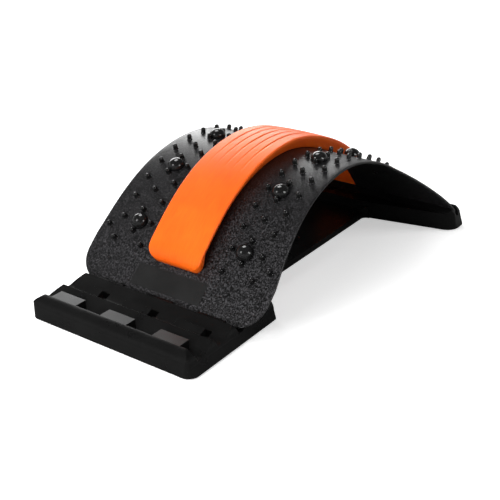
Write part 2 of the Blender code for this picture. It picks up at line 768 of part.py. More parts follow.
def pins_mesh(name):
    """All pins: a short post with a round head, sunk into the plate by PIN_ROOT."""
    bm = bmesh.new()
    post = PIN_HEIGHT - PIN_RADIUS
    for across, along in pin_spots():
        place = arch_frame(across, along, 0)
        made = bmesh.ops.create_cone(
            bm,
            cap_ends=True,
            segments=PIN_SIDES,
            radius1=PIN_RADIUS * MM,
            radius2=PIN_RADIUS * MM,
            depth=(post + PIN_ROOT) * MM,
            matrix=place @ Matrix.Translation((0, 0, (post - PIN_ROOT) / 2 * MM)),
        )["verts"]
        out = place.to_3x3() @ Vector((0, 0, 1))
        top_height = max(vert.co.dot(out) for vert in made)
        cap = next(
            face
            for vert in made
            for face in vert.link_faces
            if all(abs(corner.co.dot(out) - top_height) < 1e-7 for corner in face.verts)
        )
        for rise, shrink in ((0.62, 0.80), (0.38, 0.42)):
            middle = cap.calc_center_median()
            raised = bmesh.ops.extrude_discrete_faces(bm, faces=[cap])["faces"]
            cap = raised[0]
            for vert in cap.verts:
                vert.co = middle + (vert.co - middle) * shrink + out * PIN_RADIUS * rise * MM
    return finish_mesh(bm, name)


def build_plate(material):
    """The flexible arched plate with its pins, tabs, windows and dome holes."""
    bm = bmesh.new()
    bmesh.ops.create_grid(bm, x_segments=PLATE_COLUMNS, y_segments=PLATE_ROWS, size=1.0)
    for vert in bm.verts:
        share = (vert.co.y + 1) / 2
        eased = share - math.sin(2 * math.pi * share) * 0.11
        along = eased * PLATE_LENGTH
        vert.co = on_arch(vert.co.x * half_width(along), along, 0)
    plate = link("arch_plate", finish_mesh(bm, "arch_plate"), parts, material)
    if plate.data.polygons[0].normal.z < 0:
        plate.data.flip_normals()
    shell = plate.modifiers.new("Thickness", "SOLIDIFY")
    shell.thickness = PLATE_THICKNESS * MM
    shell.offset = -1
    shell.use_even_offset = True

    notches = []
    for column in (-1, 0, 1):
        x = column * TAB_PITCH
        half = TAB_WIDTH / 2 + NOTCH_GAP
        back = SEAT_FRONT + SEAT_TAB_DEPTH + NOTCH_GAP
        notches.append(((x - half, SEAT_FRONT - OVERLAP, 0), (x + half, back, TALL)))
    combine(plate, cutter("tab_notches", box_mesh("tab_notches", notches)), "DIFFERENCE")

    low = -PLATE_THICKNESS - OVERLAP
    windows = bent_block("key_windows", KEY_SPANS, KEY_WIDTH / 2 + GAP, low, OVERLAP, KEY_ROWS)
    combine(plate, cutter("key_windows", windows), "DIFFERENCE")

    bm = bmesh.new()
    for across, along in dome_spots():
        bmesh.ops.create_cone(
            bm,
            cap_ends=True,
            segments=12,
            radius1=(STEM_RADIUS + GAP) * MM,
            radius2=(STEM_RADIUS + GAP) * MM,
            depth=4 * OVERLAP * MM,
            matrix=arch_frame(across, along, 0),
        )
    combine(plate, cutter("dome_holes", finish_mesh(bm, "dome_holes")), "DIFFERENCE")
    combine(plate, cutter("massage_pins", pins_mesh("massage_pins")), "UNION")
    return plate


def dome_profile():
    """Outline of a dome: a round cap with a stem, hollow around the stem for its magnet."""
    magnet_space = MAGNET_HEIGHT + 2 * GAP
    radius = STEM_RADIUS + MAGNET_WALL + 3 * GAP
    foot = GAP
    points = [(0, DOME_HEIGHT)]
    for angle in (72, 54, 36, 18, 0):
        across = DOME_RADIUS * math.cos(math.radians(angle))
        height = DOME_SKIRT + (DOME_HEIGHT - DOME_SKIRT) * math.sin(math.radians(angle))
        points.append((across, height))
    points.append((DOME_RADIUS, foot))
    points.append((radius, foot))
    points.append((radius, foot + magnet_space))
    points.append((STEM_RADIUS, foot + magnet_space))
    points.append((STEM_RADIUS, -PLATE_THICKNESS - EDGE_BREAK))
    points.append((0, -PLATE_THICKNESS - EDGE_BREAK))
    return points


def build_domes(dome_material, magnet_material):
    """Ten large domes and the ring magnet inside each."""
    low = 2 * GAP
    inner = STEM_RADIUS + GAP
    outer = inner + MAGNET_WALL
    magnet = [(inner, low + MAGNET_HEIGHT), (outer, low + MAGNET_HEIGHT), (outer, low), (inner, low)]
    for index, (across, along) in enumerate(dome_spots()):
        side = "left" if across < 0 else "right"
        row = index // 2 + 1
        name = f"dome_{side}_{row}"
        dome = link(name, turned_mesh(name, dome_profile()), parts, dome_material)
        dome.matrix_world = arch_frame(across, along, 0)
        add_screw(dome, DOME_SIDES)
        name = f"magnet_{side}_{row}"
        ring = link(name, turned_mesh(name, magnet), parts, magnet_material)
        ring.matrix_world = arch_frame(across, along, 0)
        add_screw(ring, 12)


def pad_section(along):
    """The pad's ring of (across, lift) points at a distance along the plate, anticlockwise."""
    from_front = along - PAD_START
    from_rear = PAD_END - along
    from_end = min(from_front, from_rear)
    nose = min(max(from_end / PAD_NOSE, 0.0), 1.0)
    rise = math.sqrt(1 - (1 - nose) ** 2)
    height = PAD_NOSE_HEIGHT + (PAD_THICKNESS - PAD_NOSE_HEIGHT) * rise
    inset = 0.0
    if from_end < PAD_CORNER:
        inset = PAD_CORNER - math.sqrt(PAD_CORNER**2 - (PAD_CORNER - from_end) ** 2)
    half = PAD_WIDTH / 2 - inset
    foot = PAD_FOOT_WIDTH / 2 + (PAD_WIDTH - PAD_FOOT_WIDTH) / 2 * (1 - nose) - inset
    side_low = PAD_SIDE_START * nose + PAD_NOSE_SIDE * (1 - nose)
    edge = min(PAD_EDGE, height / 3)
    right = [(foot, GAP), ((foot + half) / 2, side_low / 2 + GAP), (half, side_low + GAP)]
    right.append((half, height - edge))
    right.append((half - edge * 0.3, height - edge * 0.3))
    right.append((half - edge, height))
    tops = []
    flat = half - edge
    fade = (along - CHANNEL_FADE_START) / (CHANNEL_FADE_END - CHANNEL_FADE_START)
    depth_share = nose * min(max(fade, 0.0), 1.0)
    for channel in range(CHANNEL_COUNT):
        x = (channel - (CHANNEL_COUNT - 1) / 2) * CHANNEL_PITCH
        for offset, depth in ((-0.5, 0), (0, CHANNEL_DEPTH), (0.5, 0)):
            across = (x + offset * CHANNEL_WIDTH) * min(1.0, flat / (PAD_WIDTH / 2 - PAD_EDGE))
            crown = PAD_CROWN * nose * (1 - (across / flat) ** 2)
            tops.append((across, height + crown - depth * depth_share))
    left = [(-x, lift) for x, lift in reversed(right)]
    return right + tops[::-1] + left


def build_pad(material):
    """The foam pad: one long loft over the plate, with its keys joined below."""
    bm = bmesh.new()
    rings = []
    for row in range(PAD_ROWS + 1):
        share = row / PAD_ROWS
        eased = share - math.sin(2 * math.pi * share) * 0.125
        along = PAD_START + eased * (PAD_END - PAD_START)
        ring = [bm.verts.new(on_arch(x, along, lift)) for x, lift in pad_section(along)]
        rings.append(ring)
    count = len(rings[0])
    for first, second in zip(rings, rings[1:]):
        for index in range(count):
            after = (index + 1) % count
            bm.faces.new((first[index], first[after], second[after], second[index]))
    bm.faces.new(rings[0])
    bm.faces.new(rings[-1])
    pad = link("foam_pad", finish_mesh(bm, "foam_pad"), parts, material)
    low = -PLATE_THICKNESS
    keys = bent_block("pad_keys", KEY_SPANS, KEY_WIDTH / 2, low, OVERLAP, KEY_ROWS)
    combine(pad, cutter("pad_keys", keys), "UNION")
    return pad


clear_scene()
parts = make_collection("back_stretcher")
cutters = make_collection("cutters")

satin = make_material("base_plastic", BLACK_SATIN, 0.42)
grain = make_material("plate_plastic", BLACK_GRAIN, 0.5)
gloss = make_material("dome_plastic", BLACK_GLOSS, 0.12)
foam = make_material("pad_foam", ORANGE_FOAM, 0.7)
ferrite = make_material("magnet_ferrite", MAGNET_GREY, 0.5, 0.6)
rubber = make_material("foot_rubber", RUBBER_GREY, 0.85)

build_base_front(satin)
build_base_rear(satin)
build_feet(rubber)
build_rivets(satin)
build_plate(grain)
build_pad(foam)
build_domes(gloss, ferrite)

# The plate's hinge line in its rear socket, for whoever poses the model
pivot = bpy.data.objects.new("plate_pivot", None)
pivot_y, pivot_z = rear_point(PLATE_THICKNESS / 2, -PLATE_THICKNESS / 2)
pivot.location = Vector((0, pivot_y + CENTRE_SHIFT, pivot_z)) * MM
parts.objects.link(pivot)
bpy.context.view_layer.update()
for piece in list(parts.objects):
    if piece.name.startswith(("arch_plate", "foam_pad", "dome_", "magnet_")):
        piece.parent = pivot
        piece.matrix_parent_inverse = pivot.matrix_world.inverted()
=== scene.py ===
"""Looks of the back stretcher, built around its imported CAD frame.

Lengths are millimetres, turned to metres by MM.
"""

import math

import bmesh
import bpy
import numpy as np
from mathutils import Matrix, Vector


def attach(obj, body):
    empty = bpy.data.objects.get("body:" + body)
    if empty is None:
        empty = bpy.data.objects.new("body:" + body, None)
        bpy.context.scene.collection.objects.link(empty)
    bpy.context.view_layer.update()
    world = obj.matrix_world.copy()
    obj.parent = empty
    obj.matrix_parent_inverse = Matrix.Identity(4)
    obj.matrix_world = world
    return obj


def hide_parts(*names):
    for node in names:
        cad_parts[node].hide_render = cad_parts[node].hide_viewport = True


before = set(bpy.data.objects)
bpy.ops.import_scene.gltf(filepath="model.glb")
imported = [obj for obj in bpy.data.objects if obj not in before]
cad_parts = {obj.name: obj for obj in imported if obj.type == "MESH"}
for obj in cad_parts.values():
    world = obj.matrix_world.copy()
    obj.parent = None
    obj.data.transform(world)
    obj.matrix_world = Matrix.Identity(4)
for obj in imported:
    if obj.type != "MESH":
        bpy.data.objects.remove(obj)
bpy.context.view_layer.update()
MM = 0.001

# Sizes of the frame that the fine pieces follow
GAP = 0.3
SLOT_GAP = 1.0
NOTCH_GAP = 0.6
OVERLAP = 4.0
PAST = 1.0
TALL = 60.0
EDGE_BREAK = 0.8
FOOT_RADIUS = 5.0
FOOT_PROUD = 1.0
FOOT_RECESS = 1.5
FOOT_INSET = 8.5
REAR_FOOT_INSET = 1.5
RACK_WIDTH = 167.0
RACK_DEPTH = 113.0
RACK_CORNER = 9.0
RACK_SIDE_ROUND = 12.0
RACK_END_LEAN = 2.6
LIP_HEIGHT = 20.8
LIP_ROUND = 9.0
LIP_LEAN = 0.2
GROOVE_FRONT = 10.8
GROOVE_PITCH = 26.35
GROOVE_FLOOR = 12.0
GROOVE_WIDTH = 7.0
SEAT_FLOOR = 9.8
RIDGE_HEIGHT = 18.5
RIDGE_LEAN = 3.0
SHELF_START = 20.0
SHELF_HEIGHT = 18.0
RACK_BACK_HEIGHT = 19.6
TAB_WIDTH = 26.6
TAB_PITCH = 52.6
TAB_DEPTH = 9.7
RAMP_TAB_DEPTH = 6.3
RAMP_TAB_RISE = 2.4
SEAT_TAB_DEPTH = 3.0
SEAT_TAB_HEIGHT = 15.0
TAB_SLOT_LENGTH = 8.0
TAB_SLOT_FLOOR = 8.2
BRIDGE_WIDTH = 82.6
BRIDGE_TOP = 7.2
BRIDGE_JOINT = 236.0
TONGUE_LENGTH = 18.0
TONGUE_WIDTH = 60.0
TONGUE_THICKNESS = 2.8
RIVET_RADIUS = 3.0
RIVET_HEAD_RADIUS = 5.5
RIVET_HEAD_HEIGHT = 1.4
RIVET_SPACING = 36.0
REAR_WIDTH = 263.2
REAR_FRONT_WALL = 18.0
REAR_INNER_REACH = 31.0
REAR_SWEEP = 17.0
REAR_LIP_HEIGHT = 24.0
REAR_LIP_THICKNESS = 2.4
REAR_TOE = 11.5
REAR_CORNER = 15.0
REAR_SIDE_ROUND = 9.0
REAR_END_LEAN = 2.4
REAR_BACK_CORNER = 2.5
BRIDGE_FILLET = 6.0
BRIDGE_FILLET_TOP = 12.0
SOCKET_LENGTH = 4.0
REAR_SEAT_LENGTH = 6.0
REAR_RIDGE_FOOT = 5.0
POCKET_RIB = 3.0
POCKET_SIZE = 33.0
POCKET_LENGTH = 26.0
POCKET_TOP = 7.0
REAR_POCKET_LENGTH = 14.0
BRIDGE_POCKET_TOP = 4.2
BRIDGE_POCKET_START = 20.0
ARCH_SLOPES = (
    (0, 41.5),
    (40, 44.5),
    (62, 44.2),
    (99, 33.4),
    (137, 17.7),
    (176, 3.0),
    (214, -12.5),
    (253, -21.7),
    (291, -31.2),
    (330, -46.0),
    (368, -50.0),
)
PLATE_LENGTH = 368.0
PLATE_THICKNESS = 2.4
PLATE_WAIST = 170.0
PLATE_WAIST_AT = 0.511 * PLATE_LENGTH
PLATE_FLARE_AT = 0.76 * PLATE_LENGTH
PLATE_FRONT_WIDTH = 188.4
PLATE_FRONT_STRAIGHT = 40.0
PLATE_REAR_WIDTH = REAR_WIDTH - 6.4
PLATE_FRONT_CORNER = 26.5
PLATE_REAR_CORNER = 6.0
PIN_COLUMNS = (42.8, 57.3, 72.6, 84.0)
PIN_STEP = 10.5
PIN_START = 62.0
PIN_FIRST = -2
PIN_LAST = 26
PIN_RADIUS = 2.1
PIN_HEIGHT = 5.4
DOME_EVERY = 6
DOME_LAST = 24
DOME_COLUMN = 55.2
DOME_SHIFT = -0.7
DOME_RADIUS = 7.55
DOME_HEIGHT = 7.6
DOME_SKIRT = 1.4
STEM_RADIUS = 2.4
MAGNET_HEIGHT = 2.0
MAGNET_WALL = 2.2
PAD_START = 33.0
PAD_END = 358.0
PAD_WIDTH = 55.4
PAD_FOOT_WIDTH = 41.0
PAD_THICKNESS = 12.6
PAD_SIDE_START = 10.0
PAD_NOSE_HEIGHT = 3.2
PAD_NOSE_SIDE = 0.6
PAD_EDGE = 1.6
PAD_CROWN = 0.7
PAD_NOSE = 15.0
PAD_CORNER = 9.0
CHANNEL_COUNT = 5
CHANNEL_PITCH = 8.4
CHANNEL_WIDTH = 1.8
CHANNEL_DEPTH = 0.7
CHANNEL_FADE = (120.0, 175.0)
KEY_WIDTH = 37.0
KEY_SPANS = ((70.0, 108.0), (318.0, 356.0))
SEAT_FRONT = GROOVE_FRONT + 2 * GROOVE_PITCH
BASE_BOTTOM = FOOT_PROUD

# Finer detail that only shows
PLATE_ROWS = 200
PLATE_COLUMNS = 36
PLATE_ROUND = 0.9
PLATE_ROW_EASE = 0.12
PLATE_END_MARGIN = 0.95
PLATE_END_INSETS = (0.02, 0.12, 0.35, 0.65)
SHARP_ANGLE = 40
EDGE_ROUND = 0.7
SMALL_BREAK = 0.3
FOOT_TOP_BREAK = 0.2
TURNED_SIDES = 40
CUT_REACH = 6.0
PANEL_HALF_WIDTH = 36.0
PANEL_SPAN = (7.6, 27.7)
PANEL_RISE = 0.12
PANEL_EDGE_RISE = 0.02
PANEL_DEPTH = 0.5
PANEL_STEPS = 24
PIN_SIDES = 20
DOME_SIDES = 48
DOME_STEPS = 14
PAD_ROWS = 150
PAD_NOSE_ROWS = 24
PAD_COLUMNS = 96
PAD_FOOT_IN = 0.3
PAD_FOOT_OUT = 0.2
PAD_KINK_IN = 0.15
PAD_KINK_BELOW = 0.25
PAD_KINK_ABOVE = 0.3
PAD_SHARP_ANGLE = 50
KEY_TOP = 3.0

# Outlines of small rounds: a share of the radius, then a height over the plate or a drop from the
# rivet's top; for the dome's foot a step inwards, then a height over its seat
PIN_FILLET = ((1.0, 1.2), (1.03, 0.55), (1.13, 0.18), (1.3, -0.05), (1.3, -0.9))
RIVET_CURVE = ((0.45, 0.04), (0.75, 0.3), (0.95, 0.8), (1.0, 1.15))
DOME_FOOT = ((0.0, 0.3), (0.12, 0.06), (0.4, 0.0))

# Studio lamps: name, place and size in metres, power in watts, whether matte surfaces and whether
# shiny ones take their light, and the group of pieces that alone is lit
LAMPS = (
    ("key", (-0.62, -0.5, 1.15), (0.8, 0.8), 12.6, True, False, None),
    ("front", (0.02, -0.5, 0.2), (0.2, 0.2), 1.5, True, False, None),
    ("side", (0.75, 0.62, 0.34), (0.3, 0.3), 2.6, True, False, None),
    ("back", (-1.2, 1.0, 0.62), (1.3, 0.7), 16.0, True, True, None),
    ("rim", (0.89, -0.2, 0.58), (0.3, 0.3), 2.5, False, True, None),
    ("low", (0.05, -0.4, 0.13), (0.2, 0.1), 1.9, True, False, "plate"),
    ("sheen", (-0.62, 0.82, 0.78), (0.6, 0.6), 5.5, False, True, "foam"),
    ("overhead glint", (-0.43, 0.22, 1.09), (0.5, 0.5), 8.0, False, True, "polished"),
    ("front glint", (-0.36, -0.8, 0.6), (0.3, 0.3), 2.0, False, True, "polished"),
    ("side glint", (0.97, 0.0, 0.4), (0.3, 0.3), 2.0, False, True, "polished"),
)
LAMP_COLOURS = {"sheen": (1.0, 0.86, 0.68)}
LAMP_AIM = (0, 0, 0.05)

# The floor's reach in metres, and levels of white: even light for matte surfaces, the floor's own
# tone and glow, and what shiny surfaces see of the floor and of a sky that darkens overhead
WHITE = (1, 1, 1)
FILL_LEVEL = 0.29
FLOOR_REACH = 6.0
FLOOR_TONE = 0.90
FLOOR_SHINE = 0.25
FLOOR_GLOW = 0.48
SKY_BAND = {"From Min": 0.05, "From Max": 0.55, "To Min": 0.75, "To Max": 0.12}

# View of the object: turns in degrees, lens and sensor in millimetres, and the place in
# millimetres with Y counted from the front of the base
CAMERA_YAW = 34.359
CAMERA_PITCH = 25.347
CAMERA_ROLL = 0.562
CAMERA_PLACE = (427.1, -428.9, 367.0)
CAMERA_LENS = 64.81
CAMERA_SENSOR = 36


# Geometry helpers


def slope_at(along):
    """Slope of the plate in radians, by a smooth curve through ARCH_SLOPES."""
    places = [place for place, _ in ARCH_SLOPES]
    slopes = [math.radians(slope) for _, slope in ARCH_SLOPES]
    last = len(places) - 1
    index = min(max(int(np.searchsorted(places, along)) - 1, 0), last - 1)
    span = places[index + 1] - places[index]
    tangents = []
    for at in (index, index + 1):
        before = max(at - 1, 0)
        after = min(at + 1, last)
        tangents.append((slopes[after] - slopes[before]) / (places[after] - places[before]))
    t = (along - places[index]) / span
    return (
        slopes[index] * (2 * t**3 - 3 * t**2 + 1)
        + tangents[0] * span * (t**3 - 2 * t**2 + t)
        + slopes[index + 1] * (3 * t**2 - 2 * t**3)
        + tangents[1] * span * (t**3 - t**2)
    )


def trace_arch():
    """Distances, slopes, Y and Z along the plate's upper surface, from its front tip."""
    distances = np.linspace(0.0, PLATE_LENGTH, 737)
    slopes = np.array([slope_at(along * ARCH_SLOPES[-1][0] / PLATE_LENGTH) for along in distances])
    step = distances[1] - distances[0]
    tip_y = SEAT_FRONT + GAP
    tip_z = SEAT_FLOOR + GAP + PLATE_THICKNESS * math.cos(slopes[0])
    middle = (slopes[1:] + slopes[:-1]) / 2
    y = tip_y + np.concatenate([[0.0], np.cumsum(np.cos(middle) * step)])
    z = tip_z + np.concatenate([[0.0], np.cumsum(np.sin(middle) * step)])
    return distances, slopes, y, z


ARCH = trace_arch()
REAR_END_Y = float(ARCH[2][-1])
REAR_END_Z = float(ARCH[3][-1])
REAR_SLOPE = float(ARCH[1][-1])
BASE_LENGTH = REAR_END_Y + REAR_TOE
CENTRE_SHIFT = -BASE_LENGTH / 2


def from_front(x, y, z):
    """A point in metres, with Y counted from the front of the base."""
    return Vector((x, y + CENTRE_SHIFT, z)) * MM


def on_arch(across, along, lift):
    """A place on the plate as a point in metres."""
    distances, slopes, ys, zs = ARCH
    slope = float(np.interp(along, distances, slopes))
    y = float(np.interp(along, distances, ys)) - math.sin(slope) * lift
    z = float(np.interp(along, distances, zs)) + math.cos(slope) * lift
    return from_front(across, y, z)


def arch_frame(across, along, lift):
    """The matrix of a piece that stands on the plate."""
    slope = float(np.interp(along, ARCH[0], ARCH[1]))
    return Matrix.Translation(on_arch(across, along, lift)) @ Matrix.Rotation(slope, 4, "X")


def half_width(along):
    """Half the plate's width: a straight front, a long waist, a wide rear and round corners."""
    if along < PLATE_WAIST_AT:
        reach = (PLATE_WAIST_AT - along) / (PLATE_WAIST_AT - PLATE_FRONT_STRAIGHT)
        flare = min(reach, 1.0) ** 2
        end_width, corner, from_end = PLATE_FRONT_WIDTH, PLATE_FRONT_CORNER, along
    else:
        reach = max(along - PLATE_FLARE_AT, 0.0) / (PLATE_LENGTH - PLATE_FLARE_AT)
        flare = reach**2 * (3 - 2 * reach)
        end_width, corner, from_end = PLATE_REAR_WIDTH, PLATE_REAR_CORNER, PLATE_LENGTH - along
    half = (PLATE_WAIST + (end_width - PLATE_WAIST) * flare) / 2
    if from_end < corner:
        half -= corner - math.sqrt(max(corner**2 - (corner - from_end) ** 2, 0.0))
    return half


def link(name, mesh, material=None):
    """Put a mesh in the scene as an object."""
    piece = bpy.data.objects.new(name, mesh)
    if material is not None:
        mesh.materials.append(material)
    bpy.context.scene.collection.objects.link(piece)
    return piece


def shade(mesh, angle):
    """Shade a mesh smooth, apart from edges at or over an angle in degrees."""
    mesh.shade_smooth()
    mesh.set_sharp_from_angle(angle=math.radians(angle))


def finish_mesh(bm, name, angle=35):
    """Write a bmesh to a new mesh with its faces out and smooth rounds."""
    bmesh.ops.recalc_face_normals(bm, faces=bm.faces)
    mesh = bpy.data.meshes.new(name)
    bm.to_mesh(mesh)
    bm.free()
    shade(mesh, angle)
    return mesh


def loft_mesh(name, rings, angle=35):
    """A closed loft through equal rings of points, with capped ends."""
    bm = bmesh.new()
    rows = [[bm.verts.new(point) for point in ring] for ring in rings]
    count = len(rows[0])
    for first, second in zip(rows, rows[1:]):
        for index in range(count):
            after = (index + 1) % count
            bm.faces.new((first[index], first[after], second[after], second[index]))
    bm.faces.new(rows[0])
    bm.faces.new(rows[-1])
    return finish_mesh(bm, name, angle)


def box_mesh(name, boxes):
    """Separate boxes in one mesh, with Y counted from the front of the base."""
    bm = bmesh.new()
    for low, high in boxes:
        for vert in bmesh.ops.create_cube(bm, size=1.0)["verts"]:
            for axis in range(3):
                middle = (low[axis] + high[axis]) / 2
                vert.co[axis] = middle + vert.co[axis] * (high[axis] - low[axis])
            vert.co.y += CENTRE_SHIFT
            vert.co *= MM
    return finish_mesh(bm, name)


def outline_mesh(name, outline, thickness, matrix):
    """A flat outline given thickness: a filled 2D curve turned to a mesh and welded."""
    curve = bpy.data.curves.new(name, "CURVE")
    curve.dimensions = "2D"
    curve.fill_mode = "BOTH"
    curve.extrude = thickness * MM / 2
    spline = curve.splines.new("POLY")
    spline.points.add(len(outline) - 1)
    for point, (u, v) in zip(spline.points, outline):
        point.co = (u * MM, v * MM, 0, 1)
    spline.use_cyclic_u = True
    holder = bpy.data.objects.new(name, curve)
    bpy.context.scene.collection.objects.link(holder)
    evaluated = holder.evaluated_get(bpy.context.evaluated_depsgraph_get())
    mesh = bpy.data.meshes.new_from_object(evaluated)
    bpy.data.objects.remove(holder, do_unlink=True)
    bm = bmesh.new()
    bm.from_mesh(mesh)
    bmesh.ops.remove_doubles(bm, verts=bm.verts, dist=0.00001)
    bmesh.ops.dissolve_limit(bm, angle_limit=0.001, verts=bm.verts, edges=bm.edges)
    bmesh.ops.transform(bm, matrix=matrix, verts=bm.verts)
    return finish_mesh(bm, name)


def side_slab(name, outline, low_x, high_x):
    """An outline in (Y, Z) from the front of the base, stretched from low_x to high_x."""
    turn = Matrix(((0, 0, 1, 0), (1, 0, 0, 0), (0, 1, 0, 0), (0, 0, 0, 1)))
    place = Matrix.Translation(from_front((low_x + high_x) / 2, 0, 0))
    return outline_mesh(name, outline, high_x - low_x, place @ turn)


def plan_slab(name, outline, low_z, high_z):
    """An outline in (X, Y) from the front of the base, stretched from low_z to high_z."""
    place = Matrix.Translation(from_front(0, 0, (low_z + high_z) / 2))
    return outline_mesh(name, outline, high_z - low_z, place)


def front_slab(name, outline, low_y, high_y):
    """An outline in (X, Z), stretched from low_y to high_y from the front of the base."""
    turn = Matrix(((1, 0, 0, 0), (0, 0, -1, 0), (0, 1, 0, 0), (0, 0, 0, 1)))
    place = Matrix.Translation(from_front(0, (low_y + high_y) / 2, 0))
    return outline_mesh(name, outline, high_y - low_y, place @ turn)


def arched_front(half, height, corner, lean):
    """Outline in (X, Z) of a block with leaning sides and round top corners, to trim a rack."""
    points = [(-half, BASE_BOTTOM - PAST), (half, BASE_BOTTOM - PAST)]
    points += arc((half - lean - corner, height - corner), corner, 0, 90, 16)
    points += arc((-half + lean + corner, height - corner), corner, 90, 180, 16)
    return points


def arc(centre, radius, start, end, steps):
    """Points on an arc, angles in degrees."""
    points = []
    for index in range(steps + 1):
        angle = math.radians(start + (end - start) * index / steps)
        points.append((centre[0] + radius * math.cos(angle), centre[1] + radius * math.sin(angle)))
    return points


def combine(piece, mesh, operation):
    """Cut or join a mesh into a piece, at once."""
    tool = link("tool", mesh)
    modifier = piece.modifiers.new("tool", "BOOLEAN")
    modifier.operation = operation
    modifier.object = tool
    modifier.solver = "EXACT"
    bake(piece)
    bpy.data.objects.remove(tool, do_unlink=True)


def bake(piece):
    """Apply a piece's modifiers."""
    evaluated = piece.evaluated_get(bpy.context.evaluated_depsgraph_get())
    mesh = bpy.data.meshes.new_from_object(evaluated)
    piece.modifiers.clear()
    piece.data = mesh


def soften_edges(piece, width, segments=3, angle=30):
    """Round a piece's edges and give it even shading."""
    bevel = piece.modifiers.new("Round", "BEVEL")
    bevel.width = width * MM
    bevel.segments = segments
    bevel.limit_method = "ANGLE"
    bevel.angle_limit = math.radians(angle)
    bevel.use_clamp_overlap = True
    bevel.harden_normals = False
    bake(piece)
    shade(piece.data, SHARP_ANGLE)
    weighted = piece.modifiers.new("Shade", "WEIGHTED_NORMAL")
    weighted.keep_sharp = True
    bake(piece)


def cylinder_mesh(name, places, radius, length, sides=48):
    """Cylinders of one size in one mesh, each centred on a place."""
    bm = bmesh.new()
    for place in places:
        bmesh.ops.create_cone(
            bm,
            cap_ends=True,
            segments=sides,
            radius1=radius * MM,
            radius2=radius * MM,
            depth=length * MM,
            matrix=place,
        )
    return finish_mesh(bm, name)


def disc_mesh(name, spots, radius, low, high):
    """Upright cylinders at (X, Y) spots counted from the front of the base."""
    places = [Matrix.Translation(from_front(x, y, (low + high) / 2)) for x, y in spots]
    return cylinder_mesh(name, places, radius, high - low)


def add_turned(bm, profile, sides, place):
    """Turn a (radius, height) profile about Z from the top down, and set it at a place."""
    rings = []
    for radius, height in profile:
        if radius < 1e-6:
            rings.append([bm.verts.new(place @ Vector((0, 0, height * MM)))])
            continue
        ring = []
        for index in range(sides):
            angle = 2 * math.pi * index / sides
            point = Vector((radius * math.cos(angle), radius * math.sin(angle), height)) * MM
            ring.append(bm.verts.new(place @ point))
        rings.append(ring)
    for upper, lower in zip(rings, rings[1:]):
        for index in range(sides):
            after = (index + 1) % sides
            corners = [upper[index % len(upper)], lower[index % len(lower)]]
            if len(lower) > 1:
                corners.append(lower[after])
            if len(upper) > 1:
                corners.append(upper[after])
            bm.faces.new(corners)


def turned_mesh(name, profile, sides, places):
    """A profile turned about Z at each place, in one mesh."""
    bm = bmesh.new()
    for place in places:
        add_turned(bm, profile, sides, place)
    return finish_mesh(bm, name)


def pocket_boxes(xs, ys, length, top):
    """Underside pockets of POCKET_SIZE by length, at X and Y centres."""
    boxes = []
    for x in xs:
        for y in ys:
            low = (x - POCKET_SIZE / 2, y - length / 2, BASE_BOTTOM - PAST)
            high = (x + POCKET_SIZE / 2, y + length / 2, top)
            boxes.append((low, high))
    return boxes


def foot_spots():
    """Feet in the corners of the front rack and near the ends of the rear rack."""
    x = RACK_WIDTH / 2 - FOOT_INSET
    rear_x = REAR_WIDTH / 2 - FOOT_INSET
    rear_y = REAR_END_Y - REAR_FOOT_INSET
    spots = [(side * x, y) for y in (FOOT_INSET, RACK_DEPTH - FOOT_INSET) for side in (-1, 1)]
    spots += [(side * rear_x, rear_y) for side in (-1, 1)]
    return spots


def rivet_spots():
    """The two rivets of the bridge joint."""
    y = BRIDGE_JOINT + TONGUE_LENGTH / 2
    return [(side * RIVET_SPACING / 2, y) for side in (-1, 1)]


# Base


def finish_base(base, pockets, feet, material):
    """Cut half a base's pockets, rivet holes and foot recesses, and round its edges."""
    combine(base, box_mesh("pockets", pockets), "DIFFERENCE")
    holes = disc_mesh("holes", rivet_spots(), RIVET_RADIUS + GAP, 0, BRIDGE_TOP + PAST)
    combine(base, holes, "DIFFERENCE")
    recess_top = BASE_BOTTOM + FOOT_RECESS + GAP
    recesses = disc_mesh("recesses", feet, FOOT_RADIUS + GAP, 0, recess_top)
    combine(base, recesses, "DIFFERENCE")
    soften_edges(base, EDGE_ROUND)
    base.data.materials.clear()
    base.data.materials.append(material)
    return base


def rack_outline():
    """Side outline of the front rack: round lip, two ramps, the seat groove and the shelf."""
    centre = (LIP_LEAN + LIP_ROUND, LIP_HEIGHT - LIP_ROUND)
    outline = [(0.0, BASE_BOTTOM)] + arc(centre, LIP_ROUND, 178, 90, 24)
    outline.append((centre[0] + EDGE_BREAK / 2, LIP_HEIGHT - EDGE_BREAK / 2))
    for index in range(2):
        foot = GROOVE_FRONT + index * GROOVE_PITCH
        ridge = foot + GROOVE_PITCH - RIDGE_LEAN
        outline.append((foot, GROOVE_FLOOR))
        outline.append((foot + GROOVE_WIDTH, GROOVE_FLOOR))
        outline.append((ridge - EDGE_BREAK, RIDGE_HEIGHT - EDGE_BREAK / 4))
        outline.append((ridge, RIDGE_HEIGHT - EDGE_BREAK))
    outline.append((SEAT_FRONT, SEAT_FLOOR))
    outline.append((SEAT_FRONT + GROOVE_WIDTH / 2, SEAT_FLOOR))
    outline.append((SEAT_FRONT + SHELF_START, SHELF_HEIGHT))
    outline.append((RACK_DEPTH - 3 * EDGE_BREAK, RACK_BACK_HEIGHT))
    outline.append((RACK_DEPTH - EDGE_BREAK, RACK_BACK_HEIGHT - 2 * EDGE_BREAK))
    outline.append((RACK_DEPTH, BASE_BOTTOM))
    return outline


def rounded_plan(half_x, low_y, high_y, corner):
    """Plan of the front rack, with round front corners and small rear ones."""
    small = corner / 4
    points = arc((-half_x + corner, low_y + corner), corner, 180, 270, 16)
    points += arc((half_x - corner, low_y + corner), corner, 270, 360, 16)
    points += arc((half_x - small, high_y - small), small, 0, 90, 6)
    points += arc((-half_x + small, high_y - small), small, 90, 180, 6)
    return points


